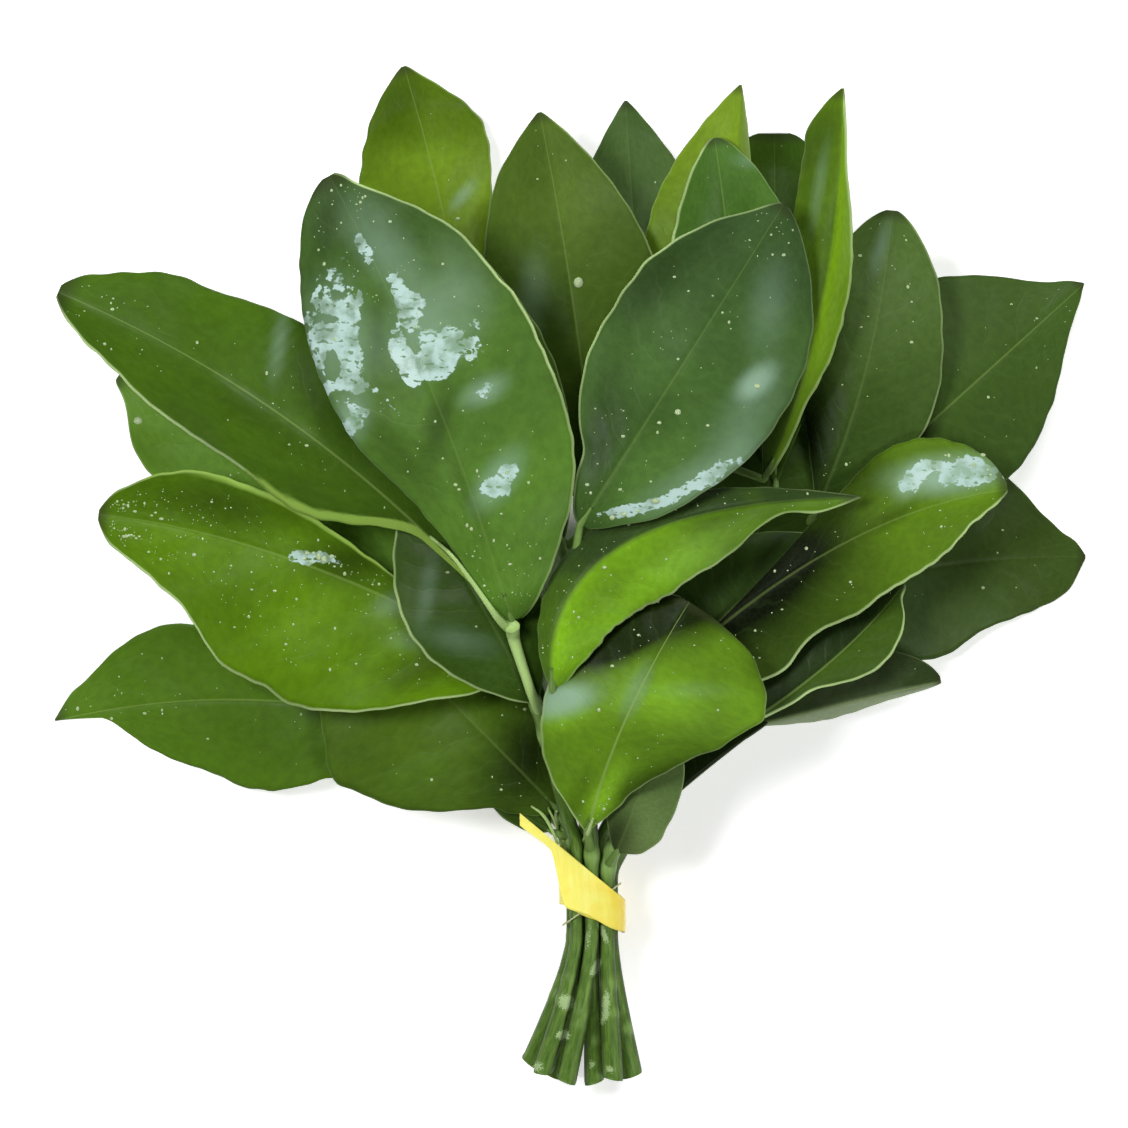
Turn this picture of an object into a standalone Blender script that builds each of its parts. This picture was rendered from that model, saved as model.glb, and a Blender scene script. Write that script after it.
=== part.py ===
"""A bunch of pomelo leaves on eight leafy stems, tied with a yellow tape and a thread, lying on a table.

The bunch lies along Y, with its cut ends towards -Y and its leaf tips towards +Y, and its best side is up.
Leaves and stems are laid down one after another. Each one is raised just enough to clear the pile under it,
so none crosses another. Sizes and places are in millimetres and slopes in degrees, unless a line says more.
"""

import functools
import math
from typing import NamedTuple

import bmesh
import bpy
import numpy as np

MM = 0.001  # metres in a millimetre

BLADE_THICK = 0.8
BLADE_ROWS, BLADE_COLUMNS = 12, 4  # facets along a blade and across it
ROUND_ENDS = 0.075  # how strongly the rows crowd towards both ends of a blade
END_SHARE = 0.015  # the outline starts and stops this far along, so that no facet is a point
FOLD_STRAIGHT = 0.4  # share of a half's slope that is a straight fold; the rest grows with the square
LOWEST = 0.3  # a blade's middle comes no nearer to the table than this, so its underside is flat there
PRESSED = 6.0  # how far the table bends up the tips of the leaves that carry the bunch
FREE = -0.5  # any other leaf stays this far off the table
GAIN_STEPS, GAIN_ROUNDING = 101, 6
LEAST_REACH = 0.25  # no part of a half is narrower than this share of its arch

STEM_NECK_RADIUS, STEM_CUT_RADIUS, STEM_TIP_RADIUS = 1.85, 2.65, 1.5
STEM_THINS = 60.0  # past the tie a stem thins over this length
STEM_SIDES = 8
STEM_STEP = 1.0  # stems are laid down in steps of this length
TUBE_STEPS = 6  # and drawn with a point at every sixth of them
CUT_SECTIONS = 5
FLARE_POWER = 1.25
STALK_RADIUS, STALK_SIDES = 1.2, 6
STALK_TAPER = (1.1, 1.0, 0.85, 0.45)
STALK_LENGTH = 9.0
STALK_RISE = 2.2  # a blade's foot above the middle of its stem
STALK_BOW = 0.3
SUNK = 0.06  # a stalk runs this share of the blade into it

NECK = (5.7, -82.0, 16.0)  # middle of the tied bundle
NECK_RING, NECK_PLACES = 5.0, 7  # one stem in the middle and seven round it on this radius
NECK_BELOW = 13.5  # the stems run side by side this far below the middle of the tie
NECK_ABOVE = 9.0  # and this far above it, measured along the slant of the tape
CUT_Y = -132.5  # the lowest cut end

CELL, CELLS = 1.0, 320  # the pile is kept as heights on a square grid
CLEAR = 1.25  # from the middle of a blade down to whatever it lies on
STEM_CLEAR = 0.9
STEMS_PART = 9.0  # past the tie the stems lie side by side for this far
STEM_ASIDE, ASIDE_GROWS = 3.5, 40.0  # a stem also clears what lies this near beside it, once this far on
LAY_ROWS, LAY_COLUMNS, ASIDE_COLUMNS = 181, 111, 21
BENDING = 150.0  # a lifted blade or stem curves down again on about this radius
FOOT_GIVES, FOOT_REACH = 0.55, 45.0  # a blade's foot rises with it by this share, less for a lift further out

TAPE_INNER, TAPE_OUTER, TAPE_THICK = 8.4, 9.3, 0.5
TAPE_TOP, TAPE_SLANT = 4.3, 0.83  # its upper edge above the middle of the tie, and how it falls to the right
TAPE_WIDTH, TAPE_SPREADS = 11.9, 0.38  # its width at the middle, and how that grows to the left
TAPE_START, TAPE_LEAVES = -300.0, 104.0  # where the tape begins and where it leaves the bundle
TAPE_GROWS, TAPE_GROWN = -10.0, 45.0  # between these it climbs over its own start
TAPE_ROWS = 34
TAIL_LENGTH, TAIL_STARTS, TAIL_NARROWS, TAIL_WIDTH, TAIL_RISE = 17.0, 4.5, 4.5, 3.0, 0.05

THREAD_RADIUS, THREAD_RING, THREAD_SLANT, THREAD_LOWER = 0.25, 7.5, 0.72, -4.0
THREAD_SECTIONS, THREAD_SIDES = 36, 6

LEAF_GREENS = {
    "low_right_stem": (0.055, 0.125, 0.025),
    "low_left_stem": (0.060, 0.140, 0.025),
    "right_back_stem": (0.070, 0.160, 0.030),
    "top_back_stem": (0.060, 0.150, 0.040),
    "top_left_stem": (0.085, 0.200, 0.025),
    "right_front_stem": (0.120, 0.270, 0.020),
    "left_front_stem": (0.050, 0.145, 0.035),
    "middle_front_stem": (0.100, 0.250, 0.030),
}
TAPE_YELLOW = (0.95, 0.80, 0.15)
THREAD_PALE = (0.60, 0.65, 0.35)
ROUGHNESS = 0.4
SHARP_EDGE = 40.0


class Leaf(NamedTuple):
    """One blade seen from above. Its left and right are taken looking from foot to tip."""

    foot: tuple
    middle: tuple  # the midrib passes here halfway
    tip: tuple
    halves: tuple  # widest reach of the left and right halves
    bellies: tuple = (0.5, 0.5)  # where along the blade each half is widest
    ends: tuple = (0.8, 0.8)  # at foot and tip: the less, the blunter
    tilts: tuple = (-8.0, -8.0)  # slope of each half out to its margin, down where negative
    pitch: float = 0.0  # slope of the midrib at the foot
    drop: float = 0.05  # fall from foot to tip, as a share of the length
    wave: tuple = (1.0, 2.0, 0.0)  # of the margin: height, how many, and where they start
    press: float = FREE
    margins: tuple = ((), ())  # what the outline adds to each half: share of the length, reach gained


class Sprig(NamedTuple):
    """A stem with its leaves, in the order in which they are laid down."""

    name: str
    place: object  # which place round the tie, clockwise from the top, or None for the middle
    cut: tuple  # middle of the cut end: across, up, along
    slope: float  # rise of the stem past the tie
    route: tuple  # the stem past the tie, seen from above
    leaves: tuple
    late: tuple = ()  # leaves that are laid on top of everything


SPRIGS = (
    Sprig(
        "low_right_stem", 3, (6.6, 2.35, -132.0), -0.02,
        ((9.0, -66.0), (18.0, -57.0), (32.0, -43.0), (52.5, -12.5)),
        (
            Leaf((57.0, -7.0), (96.5, 2.0), (135.0, 4.5), (28.1, 27.6), (0.55, 0.50), (0.8, 1.1),
                 (6, -6), 0.0, 0.20, (1.2, 1.5, 0.2), PRESSED,
                 margins=(((0.75, -0.7), (0.85, -2.7), (0.92, -1.2), (0.97, 1.4)), ((0.36, -2),
                           (0.48, -4.4), (0.59, -7.8), (0.66, -7.4), (0.75, -4.2), (0.92, 4.1),
                           (0.95, 4.5)))),
            Leaf((34.0, -43.5), (64.0, -35.5), (97.0, -28.0), (12.0, 3.9), (0.72, 0.5), (0.8, 0.6),
                 (8, -72), 0.05, 0.0,
                 margins=((), ((0.28, -2.6), (0.55, -0.6), (0.79, -1.1)))),
        ),
    ),
    Sprig(
        "low_left_stem", 5, (-10.4, 6.0, -127.6), -0.02,
        ((-2.5, -65.0), (-9.0, -56.5), (-18.0, -44.5), (-31.0, -12.0)),
        (
            Leaf((-34.0, -7.0), (-75.5, 22.0), (-118.0, 52.0), (13.5, 13.5), (0.55, 0.5), (0.8, 0.5),
                 (-5, 5), 0.0, 0.04,
                 margins=(((0.8, 5.5), (0.88, 3.9), (0.93, -0.8), (0.97, -1.6)), ())),
            Leaf((-21.0, -44.5), (-78.0, -33.0), (-135.0, -38.5), (25.7, 21.3), (0.50, 0.68), (0.8, 1.2),
                 (-8, 10), -0.04, 0.185, (1.5, 2.0, 0.3), PRESSED,
                 margins=(((0.35, -4.3), (0.44, -2.5), (0.5, -2.1), (0.57, -2.4), (0.64, -4.3),
                           (0.74, -3.3), (0.81, -3.4), (0.87, -6.1), (0.91, -5.1), (0.96, -1.8)),
                           ((0.67, -1.6), (0.71, -0.6), (0.91, -0.3), (0.96, 2)))),
            Leaf((-5.0, -67.0), (-14.0, -61.5), (-24.0, -53.5), (3.6, 8.8), (0.5, 0.5), (0.8, 0.6),
                 (-20, -8)),
            Leaf((-3.0, -61.5), (-34.0, -30.0), (-66.5, 1.0), (32.5, 23.4), (0.47, 0.5), (0.8, 0.7),
                 (-9, -9), 0.12, 0.02,
                 margins=(((0.15, -7.4), (0.2, -5.1), (0.33, -1), (0.45, 1.1), (0.51, 3.8), (0.55, 4.6),
                           (0.64, 0.9), (0.7, -0.5)), ())),
        ),
    ),
    Sprig(
        "right_back_stem", 2, (16.2, 8.6, -130.8), 0.02,
        ((15.5, -68.0), (24.0, -52.0), (38.5, -27.0), (52.0, 1.0), (62.0, 12.0)),
        (
            Leaf((43.0, -12.0), (50.5, 18.0), (57.0, 50.5), (15.6, 15.6), pitch=0.1),
            Leaf((53.5, 22.0), (53.5, 71.0), (53.5, 115.5), (18.2, 17.2), (0.6, 0.6), (0.8, 0.36),
                 (-8, -10), 0.0, 0.26, press=PRESSED),
            Leaf((72.5, 20.0), (103.5, 48.0), (134.5, 76.0), (29.9, 24.7), (0.5, 0.45), (0.8, 1.25),
                 (-8, -8), 0.0, 0.20, (1.2, 1.5, 0.0),
                 margins=(((0.79, 1.4), (0.89, 0.4), (0.98, 1.7)), ((0.41, -0.2), (0.6, -1.7),
                           (0.82, -1.5), (0.95, 0.6)))),
            Leaf((63.5, 15.5), (77.0, 53.5), (84.0, 95.0), (18.2, 20.3), (0.6, 0.5), (0.8, 0.6),
                 (-14, -10), 0.12, 0.04,
                 margins=((), ((0.4, 0), (0.66, -1.3), (0.82, -0.2), (0.94, -0.6)))),
        ),
    ),
    Sprig(
        "top_back_stem", 4, (-4.2, 2.35, -131.0), 0.0,
        ((4.0, -66.0), (5.5, -50.0), (11.0, -20.0), (20.5, 12.0), (33.0, 31.0)),
        (
            Leaf((21.5, 33.5), (17.5, 79.0), (14.5, 124.0), (17.2, 20.3), (0.5, 0.5), (0.8, 0.9),
                 (-10, -10), 0.0, 0.32, press=PRESSED),
            Leaf((36.0, 37.5), (41.0, 83.0), (44.5, 127.5), (21.8, 5.7), (0.5, 0.5), (0.8, 0.9),
                 (-10, -60), 0.10, 0.0),
            Leaf((43.0, 33.5), (42.0, 74.0), (37.5, 113.5), (16.6, 18.2), (0.47, 0.52), (0.8, 0.65),
                 (-20, -10), 0.12, 0.02),
            Leaf((50.5, 24.5), (66.0, 73.5), (71.0, 126.5), (12.5, 7.8), (0.5, 0.45), (0.8, 0.9),
                 (-30, -52), 0.15, 0.0,
                 margins=(((0.69, 0.2), (0.85, 3.4), (0.9, 5.2), (0.97, 2.5)), ((0.21, -3.2), (0.34, -1.7),
                           (0.54, -1.2), (0.8, -2.9)))),
        ),
    ),
    Sprig(
        "top_left_stem", None, (6.4, 9.0, -132.5), 0.03,
        ((5.5, -66.0), (4.0, -48.5), (2.5, -17.0), (-3.0, 11.0), (-16.5, 38.0)),
        (
            Leaf((-20.0, 6.0), (-39.0, 35.0), (-57.0, 66.0), (18.2, 18.2), pitch=0.1),
            Leaf((-23.0, 45.0), (-32.0, 90.0), (-43.5, 133.0), (22.9, 15.1), (0.52, 0.57), (0.8, 0.8),
                 (-8, -10), 0.0, 0.30, press=PRESSED,
                 margins=(((0.72, -0.6), (0.89, 1)), ((0.43, -5.1), (0.62, -0.5), (0.74, 3.2), (0.79, 4),
                           (0.84, 3.3), (0.96, -0)))),
            Leaf((7.5, 14.0), (1.0, 69.0), (-8.0, 120.5), (22.4, 23.9), (0.5, 0.47), (0.8, 0.85),
                 (-8, -8), 0.10, 0.05,
                 margins=(((0.69, 1.1), (0.84, 2.8), (0.88, 2.6)), ())),
            Leaf((-2.0, 7.5), (-13.5, 47.5), (-26.5, 87.0), (10.4, 11.4), (0.5, 0.5), (0.8, 1.1),
                 (-10, -10), 0.10, 0.05),
        ),
    ),
    Sprig(
        "right_front_stem", 1, (11.2, 14.2, -131.5), 0.15,
        ((13.0, -66.0), (17.5, -56.0), (21.5, -46.0), (22.5, -36.0)),
        (
            Leaf((17.5, -66.5), (32.5, -52.0), (51.5, -38.5), (9.1, 4.2), (0.5, 0.5), (0.8, 0.7),
                 (-10, -35), 0.0, 0.05,
                 margins=((), ((0.38, -3.8), (0.5, -4), (0.73, -3.2)))),
            Leaf((12.0, -72.5), (17.5, -58.0), (24.5, -36.5), (6.8, 8.8), (0.5, 0.55), (0.8, 0.7),
                 (-10, -25), 0.10, 0.05,
                 margins=((), ((0.08, 3.6), (0.18, 3.8), (0.46, 1.6), (0.79, 2)))),
            Leaf((34.0, -46.0), (64.5, -25.5), (87.0, -2.5), (13.0, 11.2), (0.5, 0.66), (0.8, 0.7),
                 (-18, -14), 0.10, 0.04,
                 margins=((), ((0.38, -4.7), (0.42, -5.9), (0.47, -5.8), (0.64, -1.9), (0.74, -1),
                           (0.9, -1.2), (0.94, -3.4)))),
            Leaf((28.0, -27.0), (43.0, -8.0), (67.5, 9.0), (15.6, 15.6), pitch=0.1, drop=0.0),
            Leaf((21.0, -30.0), (67.5, 6.0), (114.0, 22.0), (18.2, 21.3), (0.8, 0.4), (0.7, 0.72),
                 (-20, -8), 0.12, 0.04, (1.2, 2.5, 0.0),
                 margins=(((0.59, 0.1), (0.71, 1), (0.89, -1.6)), ((0.25, 0.1), (0.32, -4), (0.38, -5),
                           (0.5, -2.5), (0.54, -3.2), (0.59, -2.8), (0.74, -0.4), (0.82, -0.3),
                           (0.87, -1.6)))),
        ),
    ),
    Sprig(
        "left_front_stem", 6, (-7.2, 12.6, -130.0), 0.30,
        ((0.5, -66.0), (-2.0, -59.0), (-6.5, -42.5), (-10.5, -28.5), (-15.2, -14.5)),
        (
            Leaf((-11.5, -24.5), (-70.0, 3.0), (-123.0, 15.5), (36.9, 17.2), (0.53, 0.70), (0.8, 0.75),
                 (-8, 14), 0.05, 0.08, (1.5, 2.0, 0.5),
                 margins=(((0.07, 4.9), (0.12, 3.4), (0.2, 4.1), (0.27, 3.7), (0.41, 1), (0.48, -3.2),
                           (0.61, -4.3), (0.71, -9.6), (0.75, -10.7), (0.87, -7.3), (0.98, 0.3)),
                           ((0.68, -2.1), (0.77, -1), (0.93, -0.3), (0.98, 0.9)))),
            Leaf((-9.0, -33.5), (-24.5, -5.5), (-41.0, 22.5), (19.8, 15.6), (0.5, 0.5), (0.8, 0.7),
                 (-10, -10), 0.10, 0.02),
            Leaf((-15.0, -13.5), (-69.0, 37.0), (-133.5, 73.5), (15.1, 24.4), (0.62, 0.58), (0.8, 0.6),
                 (-28, -10), 0.12, 0.06, (1.2, 2.5, 0.0),
                 margins=(((0.16, -4.4), (0.23, -5.4), (0.28, -3), (0.33, 1.1), (0.4, 5), (0.45, 5.1),
                           (0.56, 2.2), (0.78, 2.4), (0.85, 1), (0.94, 1.2)), ((0.61, -1.6), (0.76, -3.3),
                           (0.83, -0.6), (0.92, -1.5)))),
        ),
        (
            Leaf((-15.0, -12.5), (-35.5, 47.0), (-62.5, 103.5), (25.7, 32.2), (0.60, 0.48), (0.55, 0.65),
                 (-16, -9), 0.25, -0.10,
                 margins=(((0.18, -4.1), (0.31, -3.9), (0.45, -0.4), (0.84, -0.2), (0.98, 1.5)),
                           ((0.03, -2.5), (0.13, -2.4), (0.2, -0.5), (0.29, 0.2), (0.49, -1.6),
                           (0.62, -0.9), (0.67, -1.9), (0.78, -0.5), (0.95, -4)))),
        ),
    ),
    Sprig(
        "middle_front_stem", 0, (-1.0, 15.0, -132.2), 0.27,
        ((5.2, -67.0), (4.0, -60.0), (1.5, -43.0), (-1.0, -27.5), (-0.5, -9.5), (1.5, 6.5)),
        (
            Leaf((4.5, -67.5), (14.0, -38.5), (31.0, -7.0), (22.9, 33.3), (0.55, 0.70), (0.8, 0.5),
                 (-14, -10), 0.35, 0.0,
                 margins=(((0.08, -0.5), (0.22, 0.2), (0.42, -0.9)), ((0.11, 1.8), (0.18, 0.5),
                           (0.26, -2.2), (0.49, -6.3), (0.57, -4.9), (0.65, -5.2), (0.76, -0.5),
                           (0.92, 2.4), (0.97, 5.3)))),
            Leaf((-4.5, -30.0), (13.0, 7.0), (76.0, 20.0), (7.8, 15.6), (0.5, 0.40), (0.7, 0.95),
                 (-35, -18), 0.20, 0.0,
                 margins=((), ((0.05, -1), (0.13, -0), (0.24, -0.8), (0.43, 0.6), (0.57, 3), (0.66, 2.5),
                           (0.71, 3.1), (0.77, 1.8), (0.85, -2.6), (0.89, -1.6), (0.93, 1.4)))),
            Leaf((2.5, 12.5), (29.0, 54.0), (55.5, 96.0), (22.4, 30.2), (0.5, 0.5), (0.65, 0.70),
                 (-12, -14), 0.15, 0.0,
                 margins=(((0.18, -5.2), (0.21, -3), (0.26, -1.3), (0.39, 0.7), (0.54, 0.9), (0.69, 2.5),
                           (0.86, 1.2), (0.92, -0.6), (0.96, -0.9)), ((0.06, -1.4), (0.13, -0.3),
                           (0.24, -1.7), (0.53, -1.4), (0.75, 0.5)))),
        ),
    ),
)


def ease(x):
    """Nought to one with level ends."""
    x = np.clip(x, 0.0, 1.0)
    return x * x * (3 - 2 * x)


def parabola(first, through, last, t):
    """From first to last by way of a given point halfway."""
    first, through, last = (np.asarray(point, float) for point in (first, through, last))
    handle = 2 * through - (first + last) / 2
    return (1 - t) ** 2 * first + 2 * t * (1 - t) * handle + t**2 * last


def midrib(leaf, t):
    """Point and leftward unit vector of the midrib, seen from above."""
    t = np.asarray(t, float)[..., None]
    point = parabola(leaf.foot, leaf.middle, leaf.tip, t)
    nudge = 1e-4
    along = parabola(leaf.foot, leaf.middle, leaf.tip, t + nudge) - point
    along /= np.linalg.norm(along, axis=-1, keepdims=True)
    return point, np.stack([-along[..., 1], along[..., 0]], axis=-1)


def length_of(leaf):
    points = midrib(leaf, np.linspace(0, 1, 41))[0]
    return float(np.linalg.norm(np.diff(points, axis=0), axis=1).sum())


@functools.cache
def margin_gain(leaf, side):
    """The reach that one half gains at even steps from foot to tip, with the table's corners rounded."""
    shares, gains = zip((0.0, 0.0), *leaf.margins[side], (1.0, 0.0))
    values = np.interp(np.linspace(0, 1, GAIN_STEPS), shares, gains)
    for _ in range(GAIN_ROUNDING):
        values[1:-1] = (values[:-2] + 2 * values[1:-1] + values[2:]) / 4
    return values


def half_width(leaf, side, t):
    """Reach of one half of the blade: a sine arch, its top moved to the belly, and what its margin gains."""
    power = math.log(0.5) / math.log(leaf.bellies[side])
    arch = np.sin(math.pi * np.clip(t, 0.0, 1.0) ** power)
    reach = leaf.halves[side] * arch ** (leaf.ends[0] + (leaf.ends[1] - leaf.ends[0]) * t)
    gain = np.interp(t, np.linspace(0, 1, GAIN_STEPS), margin_gain(leaf, side))
    return np.maximum(reach + gain, LEAST_REACH * reach)


def blade(leaf, foot_height, lift, t, across):
    """Points of the blade's middle surface: t runs from foot to tip, across from -1 (right) to 1 (left)."""
    point, leftward = midrib(leaf, t)
    on_left = across > 0
    half = np.where(on_left, half_width(leaf, 0, t), half_width(leaf, 1, t))
    slope = np.tan(np.radians(np.where(on_left, *leaf.tilts)))
    out = np.abs(across)
    fold = half * slope * (FOLD_STRAIGHT * out + (1 - FOLD_STRAIGHT) * out**2)
    height, count, start = leaf.wave
    wave = height * np.sin(2 * math.pi * (count * t + start) + across) * out**2
    wave = wave * half / max(leaf.halves)
    rib = length_of(leaf) * (leaf.pitch * t - (leaf.pitch + leaf.drop) * t**2)
    x = point[..., 0] + leftward[..., 0] * half * across
    y = point[..., 1] + leftward[..., 1] * half * across
    return x, y, foot_height + rib + lift(t) + fold + wave


class Pile:
    """The highest point of what has been laid down so far, on a grid seen from above."""

    def __init__(self):
        self.top = np.zeros((CELLS, CELLS))

    @staticmethod
    def cell(x, y):
        return tuple(np.clip((v / CELL + CELLS / 2).astype(int), 0, CELLS - 1) for v in (x, y))

    def under(self, x, y):
        """Height of the pile, with each cell as high as the highest cell beside it."""
        wide = self.top
        for axis in (0, 1):
            wide = np.maximum(wide, np.maximum(np.roll(wide, 1, axis), np.roll(wide, -1, axis)))
        return wide[self.cell(x, y)]

    def lay(self, x, y, z):
        np.maximum.at(self.top, self.cell(x, y), z)


def raised(along, need, gives=0.0):
    """Lift along a blade or stem that is held at its start: it climbs to each need and curves down after it."""
    target = along[None, :]
    asked = np.maximum(need, 0.0)[None, :]
    share = np.clip(along[:, None] / np.maximum(target, 1e-6), 0.0, 1.0)
    foot = gives * np.clip(1 - target / FOOT_REACH, 0.0, 1.0)
    climb = asked * (foot + (1 - foot) * share * (2 - share))
    fall = asked - np.maximum(along[:, None] - target, 0.0) ** 2 / (2 * BENDING)
    return np.maximum(np.minimum(climb, fall), 0.0).max(axis=1)


def lay_blade(pile, leaf, stem):
    """Lays a blade on the pile. Returns the leaf, the height of its foot, and its lift as a function of t."""
    foot_height = float(stalk_start(stem, leaf)[2]) + STALK_RISE
    t = np.linspace(0, 1, LAY_ROWS)
    across = np.linspace(-1, 1, LAY_COLUMNS)[None, :]
    x, y, z = blade(leaf, foot_height, lambda share: 0.0, t[:, None], across)
    below = pile.under(x, y)
    room = np.where(below > 0, CLEAR, LOWEST - leaf.press)
    lift = raised(t * length_of(leaf), (below + room - z).max(axis=1), FOOT_GIVES)
    pile.lay(x, y, np.maximum(z + lift[:, None], LOWEST) + BLADE_THICK / 2)
    return leaf, foot_height, lambda share: np.interp(share, t, lift)


def smooth_route(points):
    """Evenly spaced points on a smooth curve through the given ones."""
    points = np.asarray(points, float)
    padded = np.vstack([2 * points[0] - points[1], points, 2 * points[-1] - points[-2]])
    t = np.linspace(0, 1, 40, endpoint=False)[:, None]
    curve = []
    for a, b, c, d in zip(padded, padded[1:], padded[2:], padded[3:]):
        curve.append(b + 0.5 * t * (c - a + t * (2 * a - 5 * b + 4 * c - d + t * (3 * (b - c) + d - a))))
    curve = np.vstack(curve + [points[-1:]])
    along = np.concatenate([[0], np.cumsum(np.linalg.norm(np.diff(curve, axis=0), axis=1))])
    even = np.linspace(0, along[-1], int(round(along[-1] / STEM_STEP)) + 1)
    return np.stack([np.interp(even, along, values) for values in curve.T], axis=1)


def neck_place(sprig):
    """Where a stem passes the tie, across and up."""
    if sprig.place is None:
        return NECK[0], NECK[2]
    angle = math.pi / 2 - 2 * math.pi * sprig.place / NECK_PLACES
    return NECK[0] + NECK_RING * math.cos(angle), NECK[2] + NECK_RING * math.sin(angle)


def stem_radius(y):
    """Thick at the cut end, thinner at the tie and at the last leaves."""
    near = NECK[1] - NECK_BELOW
    below = ease((near - y) / (near - CUT_Y)) * (STEM_CUT_RADIUS - STEM_NECK_RADIUS)
    above = ease((y - NECK[1] - NECK_ABOVE) / STEM_THINS) * (STEM_TIP_RADIUS - STEM_NECK_RADIUS)
    return STEM_NECK_RADIUS + below + above


def lay_stem(pile, sprig):
    """Lays the part of a stem past the tie on the pile, and returns its points."""
    across, up = neck_place(sprig)
    start = (across, NECK[1] + NECK_ABOVE - TAPE_SLANT * (across - NECK[0]))
    route = smooth_route((start,) + sprig.route)
    along = np.arange(len(route)) * STEM_STEP
    radius = stem_radius(route[:, 1])[:, None]
    height = up + sprig.slope * along
    forward = np.gradient(route, axis=0)
    forward /= np.linalg.norm(forward, axis=1, keepdims=True)
    aside = np.linspace(-1, 1, ASIDE_COLUMNS) * (radius + STEM_ASIDE * ease(along / ASIDE_GROWS)[:, None])
    x = route[:, :1] - forward[:, 1:] * aside
    y = route[:, 1:] + forward[:, :1] * aside
    chord = np.sqrt(np.maximum(radius**2 - aside**2, 0.0))
    need = (pile.under(x, y) + STEM_CLEAR - (height[:, None] - chord)).max(axis=1)
    height = height + raised(along, np.where(along > STEMS_PART, need, 0.0))
    inside = np.abs(aside) <= radius
    pile.lay(x[inside], y[inside], (height[:, None] + chord)[inside])
    return np.column_stack([route, height])


def lay_bunch():
    """Lays every stem and leaf down in turn. Returns each sprig with its stem and its laid leaves."""
    pile = Pile()
    bunch = []
    for sprig in SPRIGS:
        stem = lay_stem(pile, sprig)
        bunch.append((sprig, stem, [lay_blade(pile, leaf, stem) for leaf in sprig.leaves]))
    for sprig, stem, laid in bunch:
        laid.extend(lay_blade(pile, leaf, stem) for leaf in sprig.late)
    return bunch


def cut_end(sprig):
    """Points of the stem from its cut end up to the tie, closing in on the others."""
    across, up = neck_place(sprig)
    near = NECK[1] - NECK_BELOW
    share = np.linspace(1, 0, CUT_SECTIONS)
    flare = share**FLARE_POWER
    x = across + flare * (sprig.cut[0] - across)
    z = up + flare * (sprig.cut[1] - up)
    return np.column_stack([x, near + (sprig.cut[2] - near) * share, z])


def stalk_start(stem, leaf):
    """The point of the stem at which this leaf's stalk sets out, a little before the blade's foot."""
    gap = np.linalg.norm(stem[:, :2] - np.array(leaf.foot), axis=1)
    nearest = int(gap.argmin())
    back = int(round(max(0.0, STALK_LENGTH - gap[nearest] / 2) / STEM_STEP))
    return stem[max(0, nearest - back)]


def to_mesh(name, bm):
    mesh = bpy.data.meshes.new(name)
    bm.to_mesh(mesh)
    bm.free()
    return mesh


def evaluated_mesh(holder):
    """The object's mesh as its modifiers leave it, in world coordinates."""
    bpy.context.view_layer.update()
    graph = bpy.context.evaluated_depsgraph_get()
    mesh = bpy.data.meshes.new_from_object(holder.evaluated_get(graph))
    mesh.transform(holder.matrix_world)
    return mesh


def tube(name, points, radii, sides):
    """A closed round bar along the given points."""
    curve = bpy.data.curves.new(name, "CURVE")
    curve.dimensions = "3D"
    curve.bevel_depth = MM
    curve.bevel_resolution = (sides - 4) // 2
    curve.use_fill_caps = True
    spline = curve.splines.new("POLY")
    spline.points.add(len(points) - 1)
    for spot, point, radius in zip(spline.points, points, radii):
        spot.co = (*(float(v) * MM for v in point), 1.0)
        spot.radius = float(radius)
    holder = bpy.data.objects.new(name, curve)
    bpy.context.scene.collection.objects.link(holder)
    mesh = evaluated_mesh(holder)
    bpy.data.objects.remove(holder)
    bm = bmesh.new()
    bm.from_mesh(mesh)
    bmesh.ops.remove_doubles(bm, verts=bm.verts, dist=1e-7)
    bmesh.ops.recalc_face_normals(bm, faces=bm.faces)
    return to_mesh(name, bm)


def sheet(name, rows, columns, place, thickness):
    """A thin closed solid round an open surface, whose points place(u, v) gives."""
    bm = bmesh.new()
    bmesh.ops.create_grid(bm, x_segments=rows, y_segments=columns, size=0.5)
    u = np.array([vertex.co.x + 0.5 for vertex in bm.verts])
    v = np.array([vertex.co.y + 0.5 for vertex in bm.verts])
    for vertex, point in zip(bm.verts, np.column_stack(place(u, v))):
        vertex.co = point * MM
    bmesh.ops.triangulate(bm, faces=bm.faces)
    holder = bpy.data.objects.new(name, to_mesh(name, bm))
    bpy.context.scene.collection.objects.link(holder)
    wall = holder.modifiers.new("Thickness", "SOLIDIFY")
    wall.thickness = thickness * MM
    wall.offset = 0.0
    mesh = evaluated_mesh(holder)
    bpy.data.objects.remove(holder)
    return mesh


def blade_mesh(leaf, foot_height, lift):
    def place(u, v):
        t = u - ROUND_ENDS * np.sin(2 * math.pi * u)
        x, y, z = blade(leaf, foot_height, lift, END_SHARE + (1 - 2 * END_SHARE) * t, 2 * v - 1)
        return x, y, np.maximum(z, LOWEST)

    return sheet("blade", BLADE_ROWS, BLADE_COLUMNS, place, BLADE_THICK)


def stalk_mesh(stem, leaf, foot_height, lift):
    """The leaf stalk, from inside the stem to inside the blade."""
    start = stalk_start(stem, leaf)
    foot = np.array([*leaf.foot, foot_height + float(lift(0.0))])
    inside = np.array(blade(leaf, foot_height, lift, np.array(SUNK), np.array(0.0)))
    bow = (start + foot) / 2 + np.array([0.0, 0.0, STALK_BOW])
    points = [parabola(start, bow, foot, t) for t in (0.0, 0.5, 1.0)] + [inside]
    return tube("stalk", points, [STALK_RADIUS * share for share in STALK_TAPER], STALK_SIDES)


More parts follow.
